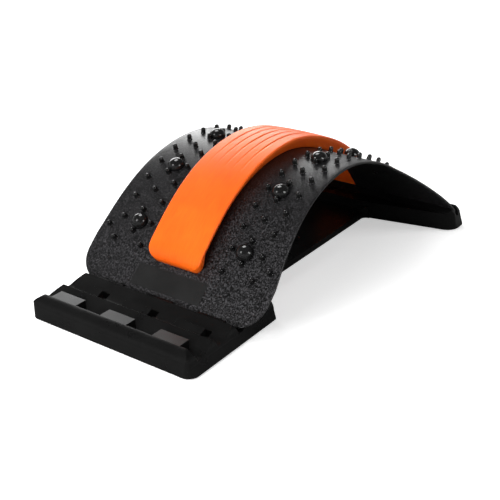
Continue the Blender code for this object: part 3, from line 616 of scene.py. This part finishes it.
def tab_outline(row):
    """Side outline of a tab: level with the lip, in line with the ramp, or low in the seat."""
    front = GROOVE_FRONT + row * GROOVE_PITCH
    if row == 0:
        start = LIP_LEAN + LIP_ROUND
        rear = front + TAB_DEPTH
        tops = [(start, LIP_HEIGHT - EDGE_BREAK / 8), (rear, LIP_HEIGHT - EDGE_BREAK / 8)]
        floor = GROOVE_FLOOR
    elif row == 1:
        start = front - RIDGE_LEAN - OVERLAP
        rear = front - RIDGE_LEAN + RAMP_TAB_DEPTH
        slope = (RIDGE_HEIGHT - GROOVE_FLOOR) / (GROOVE_PITCH - GROOVE_WIDTH - RIDGE_LEAN)
        start_z = RIDGE_HEIGHT - slope * OVERLAP - EDGE_BREAK / 2
        tops = [(start, start_z), (rear, RIDGE_HEIGHT + RAMP_TAB_RISE)]
        floor = GROOVE_FLOOR
    else:
        start = front - RIDGE_LEAN - OVERLAP
        rear = front + SEAT_TAB_DEPTH
        tops = [(start, RIDGE_HEIGHT - OVERLAP), (rear, SEAT_TAB_HEIGHT)]
        floor = SEAT_FLOOR
    return [(start, floor - PAST), *tops, (rear, floor - PAST)], rear


def build_base_front(material):
    """Front rack with its tabs, and the front half of the bridge."""
    half_rack = RACK_WIDTH / 2
    base = link("base_front_shell", side_slab("rack", rack_outline(), -half_rack, half_rack))
    slots = []
    for row in range(3):
        outline, rear = tab_outline(row)
        for column in (-1, 0, 1):
            low_x = column * TAB_PITCH - TAB_WIDTH / 2
            high_x = low_x + TAB_WIDTH
            combine(base, side_slab("tab", outline, low_x, high_x), "UNION")
            if row == 1:
                low = (low_x - GAP, rear + GAP, TAB_SLOT_FLOOR)
                slots.append((low, (high_x + GAP, rear + GAP + TAB_SLOT_LENGTH, TALL)))
    combine(base, box_mesh("slots", slots), "DIFFERENCE")
    plan = rounded_plan(half_rack, 0, RACK_DEPTH + PAST, RACK_CORNER)
    combine(base, plan_slab("plan", plan, -TALL, TALL), "INTERSECT")
    front = arched_front(half_rack + GAP, LIP_HEIGHT + GAP, RACK_SIDE_ROUND, RACK_END_LEAN)
    combine(base, front_slab("trim", front, -OVERLAP, RACK_DEPTH + OVERLAP), "INTERSECT")
    half = BRIDGE_WIDTH / 2
    low = (-half, RACK_DEPTH - OVERLAP, BASE_BOTTOM)
    high = (half, BRIDGE_JOINT - GAP / 2, BRIDGE_TOP)
    combine(base, box_mesh("bridge", [(low, high)]), "UNION")
    low = (-TONGUE_WIDTH / 2, BRIDGE_JOINT - OVERLAP, BASE_BOTTOM)
    high = (TONGUE_WIDTH / 2, BRIDGE_JOINT + TONGUE_LENGTH, BASE_BOTTOM + TONGUE_THICKNESS)
    combine(base, box_mesh("tongue", [(low, high)]), "UNION")
    columns = [step * (POCKET_SIZE + POCKET_RIB) for step in (-1.5, -0.5, 0.5, 1.5)]
    rows = [RACK_DEPTH / 2 + step * (POCKET_LENGTH + POCKET_RIB) for step in (-1, 0, 1)]
    pockets = pocket_boxes(columns, rows, POCKET_LENGTH, POCKET_TOP)
    start = RACK_DEPTH + BRIDGE_POCKET_START
    rows = [start + step * (POCKET_LENGTH + POCKET_RIB) for step in range(3)]
    pockets += pocket_boxes(columns[1:3], rows, POCKET_LENGTH, BRIDGE_POCKET_TOP)
    return finish_base(base, pockets, foot_spots()[:4], material)


def rear_point(back, rise):
    """A point in (Y, Z), back along the plate from its rear end and rise out of its surface."""
    along = (math.cos(REAR_SLOPE), math.sin(REAR_SLOPE))
    out = (-math.sin(REAR_SLOPE), math.cos(REAR_SLOPE))
    y = REAR_END_Y - back * along[0] + rise * out[0]
    z = REAR_END_Z - back * along[1] + rise * out[1]
    return (y, z)


def rear_outline():
    """Side outline of the rear rack: front wall, shelf, sloping seat, socket and rear lip."""
    seat_rise = -(PLATE_THICKNESS + GAP)
    ridge = rear_point(SOCKET_LENGTH + REAR_SEAT_LENGTH, seat_rise)
    front = REAR_END_Y - REAR_INNER_REACH - TALL
    socket_back = rear_point(-SLOT_GAP, -(PLATE_THICKNESS + SLOT_GAP))
    inner = REAR_END_Y + SLOT_GAP
    return [
        (front, BASE_BOTTOM),
        (front, REAR_FRONT_WALL),
        (ridge[0] - REAR_RIDGE_FOOT, REAR_FRONT_WALL),
        ridge,
        rear_point(SOCKET_LENGTH, seat_rise),
        rear_point(SOCKET_LENGTH, -(PLATE_THICKNESS + SLOT_GAP)),
        socket_back,
        (inner, socket_back[1]),
        (inner, REAR_LIP_HEIGHT),
        (inner + REAR_LIP_THICKNESS, REAR_LIP_HEIGHT - EDGE_BREAK),
        (BASE_LENGTH, BASE_BOTTOM),
    ]


def rear_plan():
    """Plan of the rear rack, with its front wall swept back to large round corners."""
    half = REAR_WIDTH / 2
    inner = REAR_END_Y - REAR_INNER_REACH
    outer = inner + REAR_SWEEP
    corner = REAR_CORNER
    back = REAR_BACK_CORNER
    bridge = BRIDGE_WIDTH / 2
    high = BASE_LENGTH - back + PAST
    points = [(-bridge, inner), (bridge, inner)]
    points += arc((half - corner, outer + corner), corner, 282, 360, 16)
    points += arc((half - back, high), back, 0, 90, 10)
    points += arc((-half + back, high), back, 90, 180, 10)
    points += arc((-half + corner, outer + corner), corner, 180, 258, 16)
    return points


def fillet_plan(side):
    """Plan of the round corner between the bridge's side and the rear rack's front wall."""
    edge = BRIDGE_WIDTH / 2
    inner = REAR_END_Y - REAR_INNER_REACH
    points = [(edge - OVERLAP, inner + OVERLAP), (edge - OVERLAP, inner - BRIDGE_FILLET)]
    points += arc((edge + BRIDGE_FILLET, inner - BRIDGE_FILLET), BRIDGE_FILLET, 180, 90, 12)
    points.append((edge + BRIDGE_FILLET, inner + OVERLAP))
    return [(side * x, y) for x, y in points]


def build_base_rear(material):
    """Rear rack with its lip, and the rear half of the bridge."""
    half = REAR_WIDTH / 2
    base = link("base_rear_shell", side_slab("rear", rear_outline(), -half, half))
    combine(base, plan_slab("plan", rear_plan(), -TALL, TALL), "INTERSECT")
    inner_front = REAR_END_Y - REAR_INNER_REACH
    front = arched_front(half + GAP, REAR_LIP_HEIGHT + GAP, REAR_SIDE_ROUND, REAR_END_LEAN)
    trim = front_slab("trim", front, inner_front - OVERLAP, BASE_LENGTH + OVERLAP)
    combine(base, trim, "INTERSECT")
    for side in (-1, 1):
        mesh = plan_slab("fillet", fillet_plan(side), BASE_BOTTOM, BRIDGE_FILLET_TOP)
        combine(base, mesh, "UNION")
    bridge_half = BRIDGE_WIDTH / 2
    low = (-bridge_half, BRIDGE_JOINT + GAP / 2, BASE_BOTTOM)
    high = (bridge_half, inner_front + OVERLAP, BRIDGE_TOP)
    combine(base, box_mesh("bridge", [(low, high)]), "UNION")
    low = (-TONGUE_WIDTH / 2 - GAP, BRIDGE_JOINT - OVERLAP, BASE_BOTTOM - PAST)
    high = (
        TONGUE_WIDTH / 2 + GAP,
        BRIDGE_JOINT + TONGUE_LENGTH + GAP,
        BASE_BOTTOM + TONGUE_THICKNESS + GAP,
    )
    combine(base, box_mesh("recess", [(low, high)]), "DIFFERENCE")
    pitch = POCKET_SIZE + POCKET_RIB
    rows = [inner_front + REAR_SWEEP + POCKET_RIB + REAR_POCKET_LENGTH / 2]
    columns = [step * pitch for step in (-2.5, -1.5, -0.5, 0.5, 1.5, 2.5)]
    pockets = pocket_boxes(columns, rows, REAR_POCKET_LENGTH, POCKET_TOP)
    start = BRIDGE_JOINT + TONGUE_LENGTH + BRIDGE_POCKET_START
    rows = [start + step * (POCKET_LENGTH + POCKET_RIB) for step in range(3)]
    pockets += pocket_boxes(columns[2:4], rows, POCKET_LENGTH, BRIDGE_POCKET_TOP)
    return finish_base(base, pockets, foot_spots()[4:], material)


# Plate


def plate_section(along, shrink):
    """A ring of points round the plate at a distance along it, with rounded edges."""
    half = half_width(along)
    low = -PLATE_THICKNESS + shrink
    high = -shrink
    radius = max(min(PLATE_ROUND, (high - low) / 2 - 0.01), 0.05)
    middle = half - radius
    xs = [middle * (2 * index / PLATE_COLUMNS - 1) for index in range(PLATE_COLUMNS + 1)]
    # Steps out and up round an edge, leaving a face and then coming to the other
    leaving = [(radius * math.sin(turn), radius * math.cos(turn)) for turn in (0.4, 0.8, 1.2, 1.57)]
    coming = [(radius * math.cos(turn), radius * math.sin(turn)) for turn in (0.0, 0.4, 0.8, 1.2)]
    ring = [(x, high) for x in xs]
    ring += [(middle + out, high - radius + up) for out, up in leaving]
    ring += [(middle + out, low + radius - up) for out, up in coming]
    ring += [(-x, low) for x in xs]
    ring += [(-middle - out, low + radius - up) for out, up in leaving]
    ring += [(-middle - out, high - radius + up) for out, up in coming]
    return [on_arch(x, along, lift) for x, lift in ring]


def build_plate(material):
    """The plate's shell, lofted along the arch, then notched and pierced."""
    ends = []
    for inset in PLATE_END_INSETS:
        drop = math.sqrt(max(PLATE_ROUND**2 - (PLATE_ROUND - inset) ** 2, 0))
        ends.append((inset, PLATE_ROUND - drop))
    rings = [plate_section(inset, shrink) for inset, shrink in ends]
    for row in range(PLATE_ROWS + 1):
        share = row / PLATE_ROWS
        eased = share - math.sin(2 * math.pi * share) * PLATE_ROW_EASE
        along = PLATE_END_MARGIN + eased * (PLATE_LENGTH - 2 * PLATE_END_MARGIN)
        rings.append(plate_section(along, 0))
    rings += [plate_section(PLATE_LENGTH - inset, shrink) for inset, shrink in reversed(ends)]
    plate = link("arch_plate_shell", loft_mesh("plate", rings), material)
    notches = []
    for column in (-1, 0, 1):
        x = column * TAB_PITCH
        half = TAB_WIDTH / 2 + NOTCH_GAP
        back = SEAT_FRONT + SEAT_TAB_DEPTH + NOTCH_GAP
        notches.append(((x - half, SEAT_FRONT - OVERLAP, 0), (x + half, back, TALL)))
    combine(plate, box_mesh("notches", notches), "DIFFERENCE")
    for start, end in KEY_SPANS:
        window = bent_mesh("window", start, end, KEY_WIDTH / 2 + GAP, -CUT_REACH, KEY_TOP)
        combine(plate, window, "DIFFERENCE")
    places = [arch_frame(across, along, 0) for across, along in dome_spots()]
    holes = cylinder_mesh("dome_holes", places, STEM_RADIUS + GAP, 2 * CUT_REACH, 24)
    combine(plate, holes, "DIFFERENCE")
    shade(plate.data, SHARP_ANGLE)
    return plate


def bent_mesh(name, start, end, half_x, low, high, rows=40, columns=8):
    """A block bent to the plate's curve."""
    rings = []
    for row in range(rows + 1):
        along = start + (end - start) * row / rows
        xs = [half_x * (2 * index / columns - 1) for index in range(columns + 1)]
        ring = [on_arch(x, along, high) for x in xs] + [on_arch(x, along, low) for x in xs[::-1]]
        rings.append(ring)
    return loft_mesh(name, rings)


def pin_spots():
    """Where the pins stand, as (across, along)."""
    spots = []
    for step in range(PIN_FIRST, PIN_LAST + 1):
        along = PIN_START + step * PIN_STEP
        if step % 2 == 0:
            columns = (PIN_COLUMNS[0], PIN_COLUMNS[2])
        elif step in (PIN_FIRST + 1, PIN_LAST - 1):
            columns = (PIN_COLUMNS[1], PIN_COLUMNS[3])
        else:
            columns = (PIN_COLUMNS[1],)
        spots += [(side * column, along) for column in columns for side in (-1, 1)]
    return spots


def dome_spots():
    """Where the large domes sit, as (across, along)."""
    steps = range(0, DOME_LAST + 1, DOME_EVERY)
    return [
        (side * DOME_COLUMN, PIN_START + DOME_SHIFT + step * PIN_STEP)
        for step in steps
        for side in (-1, 1)
    ]


def build_pins(material):
    """Small round-headed points, with a fillet where each meets the plate."""
    profile = [(0, PIN_HEIGHT)]
    for angle in (75, 60, 45, 30, 15, 0):
        turn = math.radians(angle)
        height = PIN_HEIGHT - PIN_RADIUS * (1 - math.sin(turn))
        profile.append((PIN_RADIUS * math.cos(turn), height))
    profile += [(PIN_RADIUS * share, height) for share, height in PIN_FILLET]
    profile.append((0, PIN_FILLET[-1][1]))
    places = [arch_frame(across, along, 0) for across, along in pin_spots()]
    return link("massage_pins", turned_mesh("pins", profile, PIN_SIDES, places), material)


def dome_profile():
    """Outline of a dome: a round cap with a stem, hollow around the stem for its magnet."""
    profile = [(0, DOME_HEIGHT)]
    for step in range(1, DOME_STEPS + 1):
        turn = math.radians(90 - step * 90 / DOME_STEPS)
        height = DOME_SKIRT + (DOME_HEIGHT - DOME_SKIRT) * math.sin(turn)
        profile.append((DOME_RADIUS * math.cos(turn), height))
    profile += [(DOME_RADIUS - inwards, GAP + height) for inwards, height in DOME_FOOT]
    hollow = STEM_RADIUS + MAGNET_WALL + 3 * GAP
    ceiling = MAGNET_HEIGHT + 3 * GAP
    profile += [(hollow, GAP), (hollow, ceiling), (STEM_RADIUS, ceiling)]
    tip = -PLATE_THICKNESS - 2 * SMALL_BREAK
    profile += [(STEM_RADIUS, tip + SMALL_BREAK), (STEM_RADIUS - SMALL_BREAK, tip), (0, tip)]
    return profile


def build_domes(material):
    """Large glossy domes, each with a small rim at its foot."""
    profile = dome_profile()
    made = []
    for index, (across, along) in enumerate(dome_spots()):
        side = "left" if across < 0 else "right"
        name = f"dome_{side}_{index // 2 + 1}"
        mesh = turned_mesh(name, profile, DOME_SIDES, [arch_frame(across, along, 0)])
        dome = link("polished_" + name, mesh, material)
        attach(dome, "arch")
        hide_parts(name)
        made.append(dome)
    return made


def build_panel(material):
    """The smooth blank panel in front of the pad, a hair proud of the grained plate."""
    start, end = PANEL_SPAN
    last = PANEL_STEPS
    xs = [PANEL_HALF_WIDTH * (2 * column / last - 1) for column in range(last + 1)]
    rings = []
    for row in range(last + 1):
        along = start + (end - start) * row / last
        ring = []
        for column, x in enumerate(xs):
            inside = 0 < column < last and 0 < row < last
            ring.append(on_arch(x, along, PANEL_RISE if inside else PANEL_EDGE_RISE))
        rings.append(ring + [on_arch(x, along, -PANEL_DEPTH) for x in xs[::-1]])
    return link("blank_panel", loft_mesh("blank_panel", rings), material)


# Pad


def pad_top(along, flat, height, nose):
    """The pad's upper face from right to left as (across, lift), with its channels."""
    reach = flat / (PAD_WIDTH / 2 - PAD_EDGE)
    fade = min(max((along - CHANNEL_FADE[0]) / (CHANNEL_FADE[1] - CHANNEL_FADE[0]), 0.0), 1.0)
    depth = CHANNEL_DEPTH * nose * fade
    tops = []
    for index in range(PAD_COLUMNS + 1):
        across = flat * (1 - 2 * index / PAD_COLUMNS)
        lift = height + PAD_CROWN * nose * (1 - (across / flat) ** 2)
        for channel in range(CHANNEL_COUNT):
            centre = (channel - (CHANNEL_COUNT - 1) / 2) * CHANNEL_PITCH * reach
            away = abs(across - centre) / (CHANNEL_WIDTH / 2)
            if away < 1:
                lift -= depth * (1 - away**2) ** 1.5
        tops.append((across, lift))
    return tops


def pad_section(along):
    """A ring of (across, lift) points round the pad at a distance along the plate."""
    from_end = min(along - PAD_START, PAD_END - along)
    nose = min(max(from_end / PAD_NOSE, 0.0), 1.0)
    height = PAD_NOSE_HEIGHT + (PAD_THICKNESS - PAD_NOSE_HEIGHT) * math.sqrt(1 - (1 - nose) ** 2)
    inset = 0.0
    if from_end < PAD_CORNER:
        inset = PAD_CORNER - math.sqrt(max(PAD_CORNER**2 - (PAD_CORNER - from_end) ** 2, 0))
    half = PAD_WIDTH / 2 - inset
    foot = PAD_FOOT_WIDTH / 2 + (PAD_WIDTH - PAD_FOOT_WIDTH) / 2 * (1 - nose) - inset
    side_low = PAD_SIDE_START * nose + PAD_NOSE_SIDE * (1 - nose)
    side_rise = side_low - PAD_FOOT_OUT
    edge = min(PAD_EDGE, height / 3)
    right = [(foot - PAD_FOOT_IN, GAP), (foot + PAD_FOOT_OUT, GAP + PAD_FOOT_OUT)]
    for share in (0.25, 0.5, 0.75):
        right.append((foot + (half - foot) * share, GAP + PAD_FOOT_OUT + side_rise * share))
    right += [
        (half - PAD_KINK_IN, side_low + GAP - PAD_KINK_BELOW),
        (half, side_low + GAP + PAD_KINK_ABOVE),
        (half, (side_low + height) / 2),
        (half, height - edge),
    ]
    for turn in (0.35, 0.7, 1.05, 1.4):
        right.append((half - edge + edge * math.cos(turn), height - edge + edge * math.sin(turn)))
    left = [(-x, lift) for x, lift in reversed(right)]
    return right + pad_top(along, half - edge, height, nose) + left


def build_pad(material):
    """The foam pad over the plate, with its keys."""
    turns = [turn * math.pi / (2 * PAD_NOSE_ROWS) for turn in range(PAD_NOSE_ROWS)]
    fronts = [PAD_START + PAD_NOSE * (1 - math.cos(turn)) for turn in turns]
    middles = list(np.linspace(PAD_START + PAD_NOSE, PAD_END - PAD_NOSE, PAD_ROWS))
    rears = [PAD_START + PAD_END - along for along in reversed(fronts)]
    rings = []
    for along in fronts + middles + rears:
        rings.append([on_arch(x, along, lift) for x, lift in pad_section(along)])
    pad = link("foam_pad_skin", loft_mesh("pad", rings, PAD_SHARP_ANGLE), material)
    for start, end in KEY_SPANS:
        key = bent_mesh("key", start, end, KEY_WIDTH / 2, -PLATE_THICKNESS, KEY_TOP)
        combine(pad, key, "UNION")
    shade(pad.data, PAD_SHARP_ANGLE)
    return pad


# Materials


def new_material(name):
    """A node material, its tree and its Principled shader."""
    material = bpy.data.materials.new(name)
    material.use_nodes = True
    tree = material.node_tree
    return material, tree, tree.nodes["Principled BSDF"]


def set_inputs(node, values):
    """Set a node's inputs by name."""
    for name, value in values.items():
        node.inputs[name].default_value = value


def object_noise(tree, scale, detail, stretch=(1, 1, 1), roughness=0.55):
    """Noise in the object's own coordinates, in features per metre."""
    place = tree.nodes.new("ShaderNodeTexCoord")
    mapping = tree.nodes.new("ShaderNodeMapping")
    noise = tree.nodes.new("ShaderNodeTexNoise")
    set_inputs(mapping, {"Scale": stretch})
    set_inputs(noise, {"Scale": scale, "Detail": detail, "Roughness": roughness})
    tree.links.new(place.outputs["Object"], mapping.inputs["Vector"])
    tree.links.new(mapping.outputs["Vector"], noise.inputs["Vector"])
    return noise


def ramp(tree, source, low, high, low_value, high_value):
    """Map a factor to a colour or a grey between two stops."""
    node = tree.nodes.new("ShaderNodeValToRGB")
    node.color_ramp.elements[0].position = low
    node.color_ramp.elements[1].position = high
    node.color_ramp.elements[0].color = (*low_value, 1)
    node.color_ramp.elements[1].color = (*high_value, 1)
    tree.links.new(source, node.inputs["Fac"])
    return node.outputs["Color"]


def grey_ramp(tree, source, low_grey, high_grey):
    """Map the middle of a factor's range to a grey between two levels."""
    return ramp(tree, source, 0.3, 0.7, (low_grey,) * 3, (high_grey,) * 3)


def add_bump(tree, shader, source, distance, strength, after=None):
    """Bump from a height source, stacked on another bump if given."""
    bump = tree.nodes.new("ShaderNodeBump")
    set_inputs(bump, {"Strength": strength, "Distance": distance * MM})
    tree.links.new(source, bump.inputs["Height"])
    if after is not None:
        tree.links.new(after.outputs["Normal"], bump.inputs["Normal"])
    tree.links.new(bump.outputs["Normal"], shader.inputs["Normal"])
    return bump


def satin_plastic(name, grey, roughness, specular):
    """Smooth moulded black plastic with slight unevenness in its shine."""
    material, tree, shader = new_material(name)
    cloud = object_noise(tree, 45, 4)
    colour = grey_ramp(tree, cloud.outputs["Fac"], grey * 0.85, grey * 1.2)
    rough = grey_ramp(tree, cloud.outputs["Fac"], *roughness)
    tree.links.new(colour, shader.inputs["Base Color"])
    tree.links.new(rough, shader.inputs["Roughness"])
    fine = object_noise(tree, 2600, 2)
    add_bump(tree, shader, fine.outputs["Fac"], 0.03, 0.35)
    set_inputs(shader, {"Specular IOR Level": specular})
    return material


def grained_plastic():
    """Black plastic with a fine leather grain."""
    material, tree, shader = new_material("grained plastic")
    pebbles = tree.nodes.new("ShaderNodeTexVoronoi")
    place = tree.nodes.new("ShaderNodeTexCoord")
    set_inputs(pebbles, {"Scale": 900})
    pebbles.feature = "SMOOTH_F1"
    tree.links.new(place.outputs["Object"], pebbles.inputs["Vector"])
    grain = object_noise(tree, 750, 3, roughness=0.7)
    cloud = object_noise(tree, 30, 3)
    colour = ramp(tree, grain.outputs["Fac"], 0.46, 0.66, (0.001,) * 3, (0.031, 0.030, 0.032))
    tree.links.new(colour, shader.inputs["Base Color"])
    rough = grey_ramp(tree, cloud.outputs["Fac"], 0.34, 0.42)
    tree.links.new(rough, shader.inputs["Roughness"])
    first = add_bump(tree, shader, pebbles.outputs["Distance"], 0.12, 0.5)
    add_bump(tree, shader, grain.outputs["Fac"], 0.22, 0.7, first)
    return material


def glossy_plastic():
    """Polished black plastic."""
    material, tree, shader = new_material("polished plastic")
    cloud = object_noise(tree, 160, 3)
    rough = grey_ramp(tree, cloud.outputs["Fac"], 0.08, 0.14)
    tree.links.new(rough, shader.inputs["Roughness"])
    colour = grey_ramp(tree, cloud.outputs["Fac"], 0.006, 0.010)
    tree.links.new(colour, shader.inputs["Base Color"])
    set_inputs(shader, {"Coat Weight": 0.12, "Coat Roughness": 0.05, "Specular IOR Level": 0.3})
    return material


def orange_foam():
    """Orange foam with a brushed skin: fine streaks along the pad and small pores."""
    material, tree, shader = new_material("orange foam")
    streaks = object_noise(tree, 60, 5, (26, 1.3, 1.3), 0.6)
    pores = object_noise(tree, 1500, 2)
    cloud = object_noise(tree, 25, 3)
    mix = tree.nodes.new("ShaderNodeMath")
    mix.operation = "MULTIPLY_ADD"
    mix.inputs[1].default_value = 0.55
    tree.links.new(streaks.outputs["Fac"], mix.inputs[0])
    scaled = tree.nodes.new("ShaderNodeMath")
    scaled.operation = "MULTIPLY"
    scaled.inputs[1].default_value = 0.45
    tree.links.new(cloud.outputs["Fac"], scaled.inputs[0])
    tree.links.new(scaled.outputs["Value"], mix.inputs[2])
    deep, bright = (0.87, 0.098, 0.003), (0.95, 0.148, 0.007)
    colour = ramp(tree, mix.outputs["Value"], 0.35, 0.65, deep, bright)
    tree.links.new(colour, shader.inputs["Base Color"])
    rough = grey_ramp(tree, streaks.outputs["Fac"], 0.42, 0.58)
    tree.links.new(rough, shader.inputs["Roughness"])
    first = add_bump(tree, shader, streaks.outputs["Fac"], 0.12, 0.35)
    add_bump(tree, shader, pores.outputs["Fac"], 0.05, 0.3, first)
    set_inputs(shader, {"Specular IOR Level": 0.36})
    return material


def gritty(name, scale, greys, metallic, roughness, bump):
    """A dull grey with fine grit, for the magnets' ferrite and the feet's rubber."""
    material, tree, shader = new_material(name)
    grit = object_noise(tree, scale, 3)
    colour = grey_ramp(tree, grit.outputs["Fac"], *greys)
    tree.links.new(colour, shader.inputs["Base Color"])
    set_inputs(shader, {"Metallic": metallic, "Roughness": roughness})
    add_bump(tree, shader, grit.outputs["Fac"], *bump)
    return material


base_plastic = satin_plastic("satin plastic", grey=0.005, roughness=(0.26, 0.34), specular=0.12)
panel_plastic = satin_plastic(
    "smooth panel plastic", grey=0.012, roughness=(0.34, 0.40), specular=0.4
)
plate_plastic = grained_plastic()
polished = glossy_plastic()
foam = orange_foam()
ferrite = gritty(
    "grey ferrite", scale=900, greys=(0.12, 0.2), metallic=0.7, roughness=0.5, bump=(0.03, 0.4)
)
rubber = gritty(
    "dark rubber", scale=1400, greys=(0.02, 0.035), metallic=0, roughness=0.85, bump=(0.05, 0.5)
)

# Pieces

base_front = build_base_front(base_plastic)
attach(base_front, "base")
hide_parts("base_front")

base_rear = build_base_rear(base_plastic)
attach(base_rear, "base")
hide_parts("base_rear")

rivet_tip = BASE_BOTTOM + GAP
rivet_seat = BRIDGE_TOP + GAP
rivet_top = rivet_seat + RIVET_HEAD_HEIGHT
rivet_profile = [(0, rivet_top)]
rivet_profile += [(RIVET_HEAD_RADIUS * share, rivet_top - drop) for share, drop in RIVET_CURVE]
rivet_profile += [
    (RIVET_HEAD_RADIUS - SMALL_BREAK / 2, rivet_seat),
    (RIVET_RADIUS, rivet_seat),
    (RIVET_RADIUS, rivet_tip + SMALL_BREAK),
    (RIVET_RADIUS - SMALL_BREAK, rivet_tip),
    (0, rivet_tip),
]
for side, (x, y) in zip(("left", "right"), rivet_spots()):
    place = Matrix.Translation(from_front(x, y, 0))
    mesh = turned_mesh("rivet", rivet_profile, TURNED_SIDES, [place])
    rivet = link("rivet_" + side, mesh, base_plastic)
    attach(rivet, "base")
    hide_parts("bridge_rivet_" + side)

foot_top = BASE_BOTTOM + FOOT_RECESS
foot_profile = [
    (0, foot_top),
    (FOOT_RADIUS - FOOT_TOP_BREAK, foot_top),
    (FOOT_RADIUS, foot_top - FOOT_TOP_BREAK),
    (FOOT_RADIUS, SMALL_BREAK),
    (FOOT_RADIUS - SMALL_BREAK, 0),
    (0, 0),
]
for index, (x, y) in enumerate(foot_spots(), start=1):
    place = Matrix.Translation(from_front(x, y, 0))
    mesh = turned_mesh("foot", foot_profile, TURNED_SIDES, [place])
    foot = link(f"rubber_foot_{index}", mesh, rubber)
    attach(foot, "base")
    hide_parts(f"anti_slip_foot_{index}")

plate = build_plate(plate_plastic)
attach(plate, "arch")
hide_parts("arch_plate")

pins = build_pins(polished)
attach(pins, "arch")

panel = build_panel(panel_plastic)
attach(panel, "arch")

domes = build_domes(polished)

pad = build_pad(foam)
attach(pad, "arch")
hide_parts("foam_pad")

for name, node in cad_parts.items():
    if name.startswith("magnet_"):
        node.data.materials.clear()
        node.data.materials.append(ferrite)

# Floor, light and camera

# Dull white, with a glow that only the camera sees, and darker where shiny surfaces reflect it
bm = bmesh.new()
bmesh.ops.create_grid(bm, x_segments=1, y_segments=1, size=FLOOR_REACH)
floor_material, floor_tree, floor_shader = new_material("pale floor")
set_inputs(floor_shader, {"Roughness": 0.9, "Specular IOR Level": 0.0})
path = floor_tree.nodes.new("ShaderNodeLightPath")
tone = floor_tree.nodes.new("ShaderNodeMix")
tone.data_type = "RGBA"
set_inputs(tone, {"A": (*(FLOOR_TONE,) * 3, 1), "B": (*(FLOOR_SHINE,) * 3, 1)})
floor_tree.links.new(path.outputs["Is Glossy Ray"], tone.inputs["Factor"])
floor_tree.links.new(tone.outputs["Result"], floor_shader.inputs["Base Color"])
glow = floor_tree.nodes.new("ShaderNodeEmission")
set_inputs(glow, {"Color": (*WHITE, 1)})
strength = floor_tree.nodes.new("ShaderNodeMath")
strength.operation = "MULTIPLY"
strength.inputs[1].default_value = FLOOR_GLOW
add = floor_tree.nodes.new("ShaderNodeAddShader")
output = floor_tree.nodes["Material Output"]
floor_tree.links.new(path.outputs["Is Camera Ray"], strength.inputs[0])
floor_tree.links.new(strength.outputs["Value"], glow.inputs["Strength"])
floor_tree.links.new(floor_shader.outputs["BSDF"], add.inputs[0])
floor_tree.links.new(glow.outputs["Emission"], add.inputs[1])
floor_tree.links.new(add.outputs["Shader"], output.inputs["Surface"])
floor = link("floor", finish_mesh(bm, "floor"), floor_material)

# White to the camera, even light for matte surfaces, and for shine a pale band low down that
# darkens overhead
world = bpy.data.worlds.new("studio")
bpy.context.scene.world = world
world.use_nodes = True
tree = world.node_tree
background = tree.nodes["Background"]
set_inputs(background, {"Color": (*WHITE, 1)})
rays = tree.nodes.new("ShaderNodeLightPath")
direction = tree.nodes.new("ShaderNodeTexCoord")
parted = tree.nodes.new("ShaderNodeSeparateXYZ")
tree.links.new(direction.outputs["Generated"], parted.inputs["Vector"])
band = tree.nodes.new("ShaderNodeMapRange")
set_inputs(band, SKY_BAND)
band.interpolation_type = "SMOOTHSTEP"
tree.links.new(parted.outputs["Z"], band.inputs["Value"])
shine = tree.nodes.new("ShaderNodeMix")
shine.data_type = "FLOAT"
set_inputs(shine, {"A": FILL_LEVEL})
tree.links.new(rays.outputs["Is Glossy Ray"], shine.inputs["Factor"])
tree.links.new(band.outputs["Result"], shine.inputs["B"])
level = tree.nodes.new("ShaderNodeMix")
level.data_type = "FLOAT"
set_inputs(level, {"B": 1.0})
tree.links.new(rays.outputs["Is Camera Ray"], level.inputs["Factor"])
tree.links.new(shine.outputs["Result"], level.inputs["A"])
tree.links.new(level.outputs["Result"], background.inputs["Strength"])


def softbox(name, place, size, power, matte, shiny):
    """A rectangular area lamp that faces the object, for matte light, reflections or both."""
    lamp = bpy.data.lights.new(name, "AREA")
    lamp.shape = "RECTANGLE"
    lamp.size, lamp.size_y = size
    lamp.energy = power
    lamp.color = LAMP_COLOURS.get(name, WHITE)
    holder = bpy.data.objects.new(name, lamp)
    bpy.context.scene.collection.objects.link(holder)
    holder.location = place
    holder.rotation_mode = "QUATERNION"
    aim = Vector(LAMP_AIM) - Vector(place)
    holder.rotation_quaternion = aim.to_track_quat("-Z", "Y")
    holder.visible_diffuse = matte
    holder.visible_glossy = shiny
    return holder


lit_alone = {}
for group, pieces in (("polished", [pins, *domes]), ("plate", [plate]), ("foam", [pad])):
    lit_alone[group] = bpy.data.collections.new(group + " pieces")
    for piece in pieces:
        lit_alone[group].objects.link(piece)
for name, place, size, power, matte, shiny, group in LAMPS:
    lamp = softbox(name, place, size, power, matte, shiny)
    if group is not None:
        lamp.light_linking.receiver_collection = lit_alone[group]

yaw = math.radians(CAMERA_YAW)
pitch = math.radians(CAMERA_PITCH)
roll = math.radians(CAMERA_ROLL)
back = Vector((math.sin(yaw) * math.cos(pitch), -math.cos(yaw) * math.cos(pitch), math.sin(pitch)))
right = Vector((math.cos(yaw), math.sin(yaw), 0))
up = back.cross(right)
turned_right = right * math.cos(roll) + up * math.sin(roll)
turned_up = up * math.cos(roll) - right * math.sin(roll)
camera_data = bpy.data.cameras.new("camera")
camera_data.sensor_width = CAMERA_SENSOR
camera_data.lens = CAMERA_LENS
camera = bpy.data.objects.new("camera", camera_data)
bpy.context.scene.collection.objects.link(camera)
placed = Matrix((turned_right, turned_up, back)).transposed().to_4x4()
placed.translation = from_front(*CAMERA_PLACE)
camera.matrix_world = placed
bpy.context.scene.camera = camera
bpy.context.scene.view_settings.view_transform = "Standard"

bpy.context.view_layer.update()
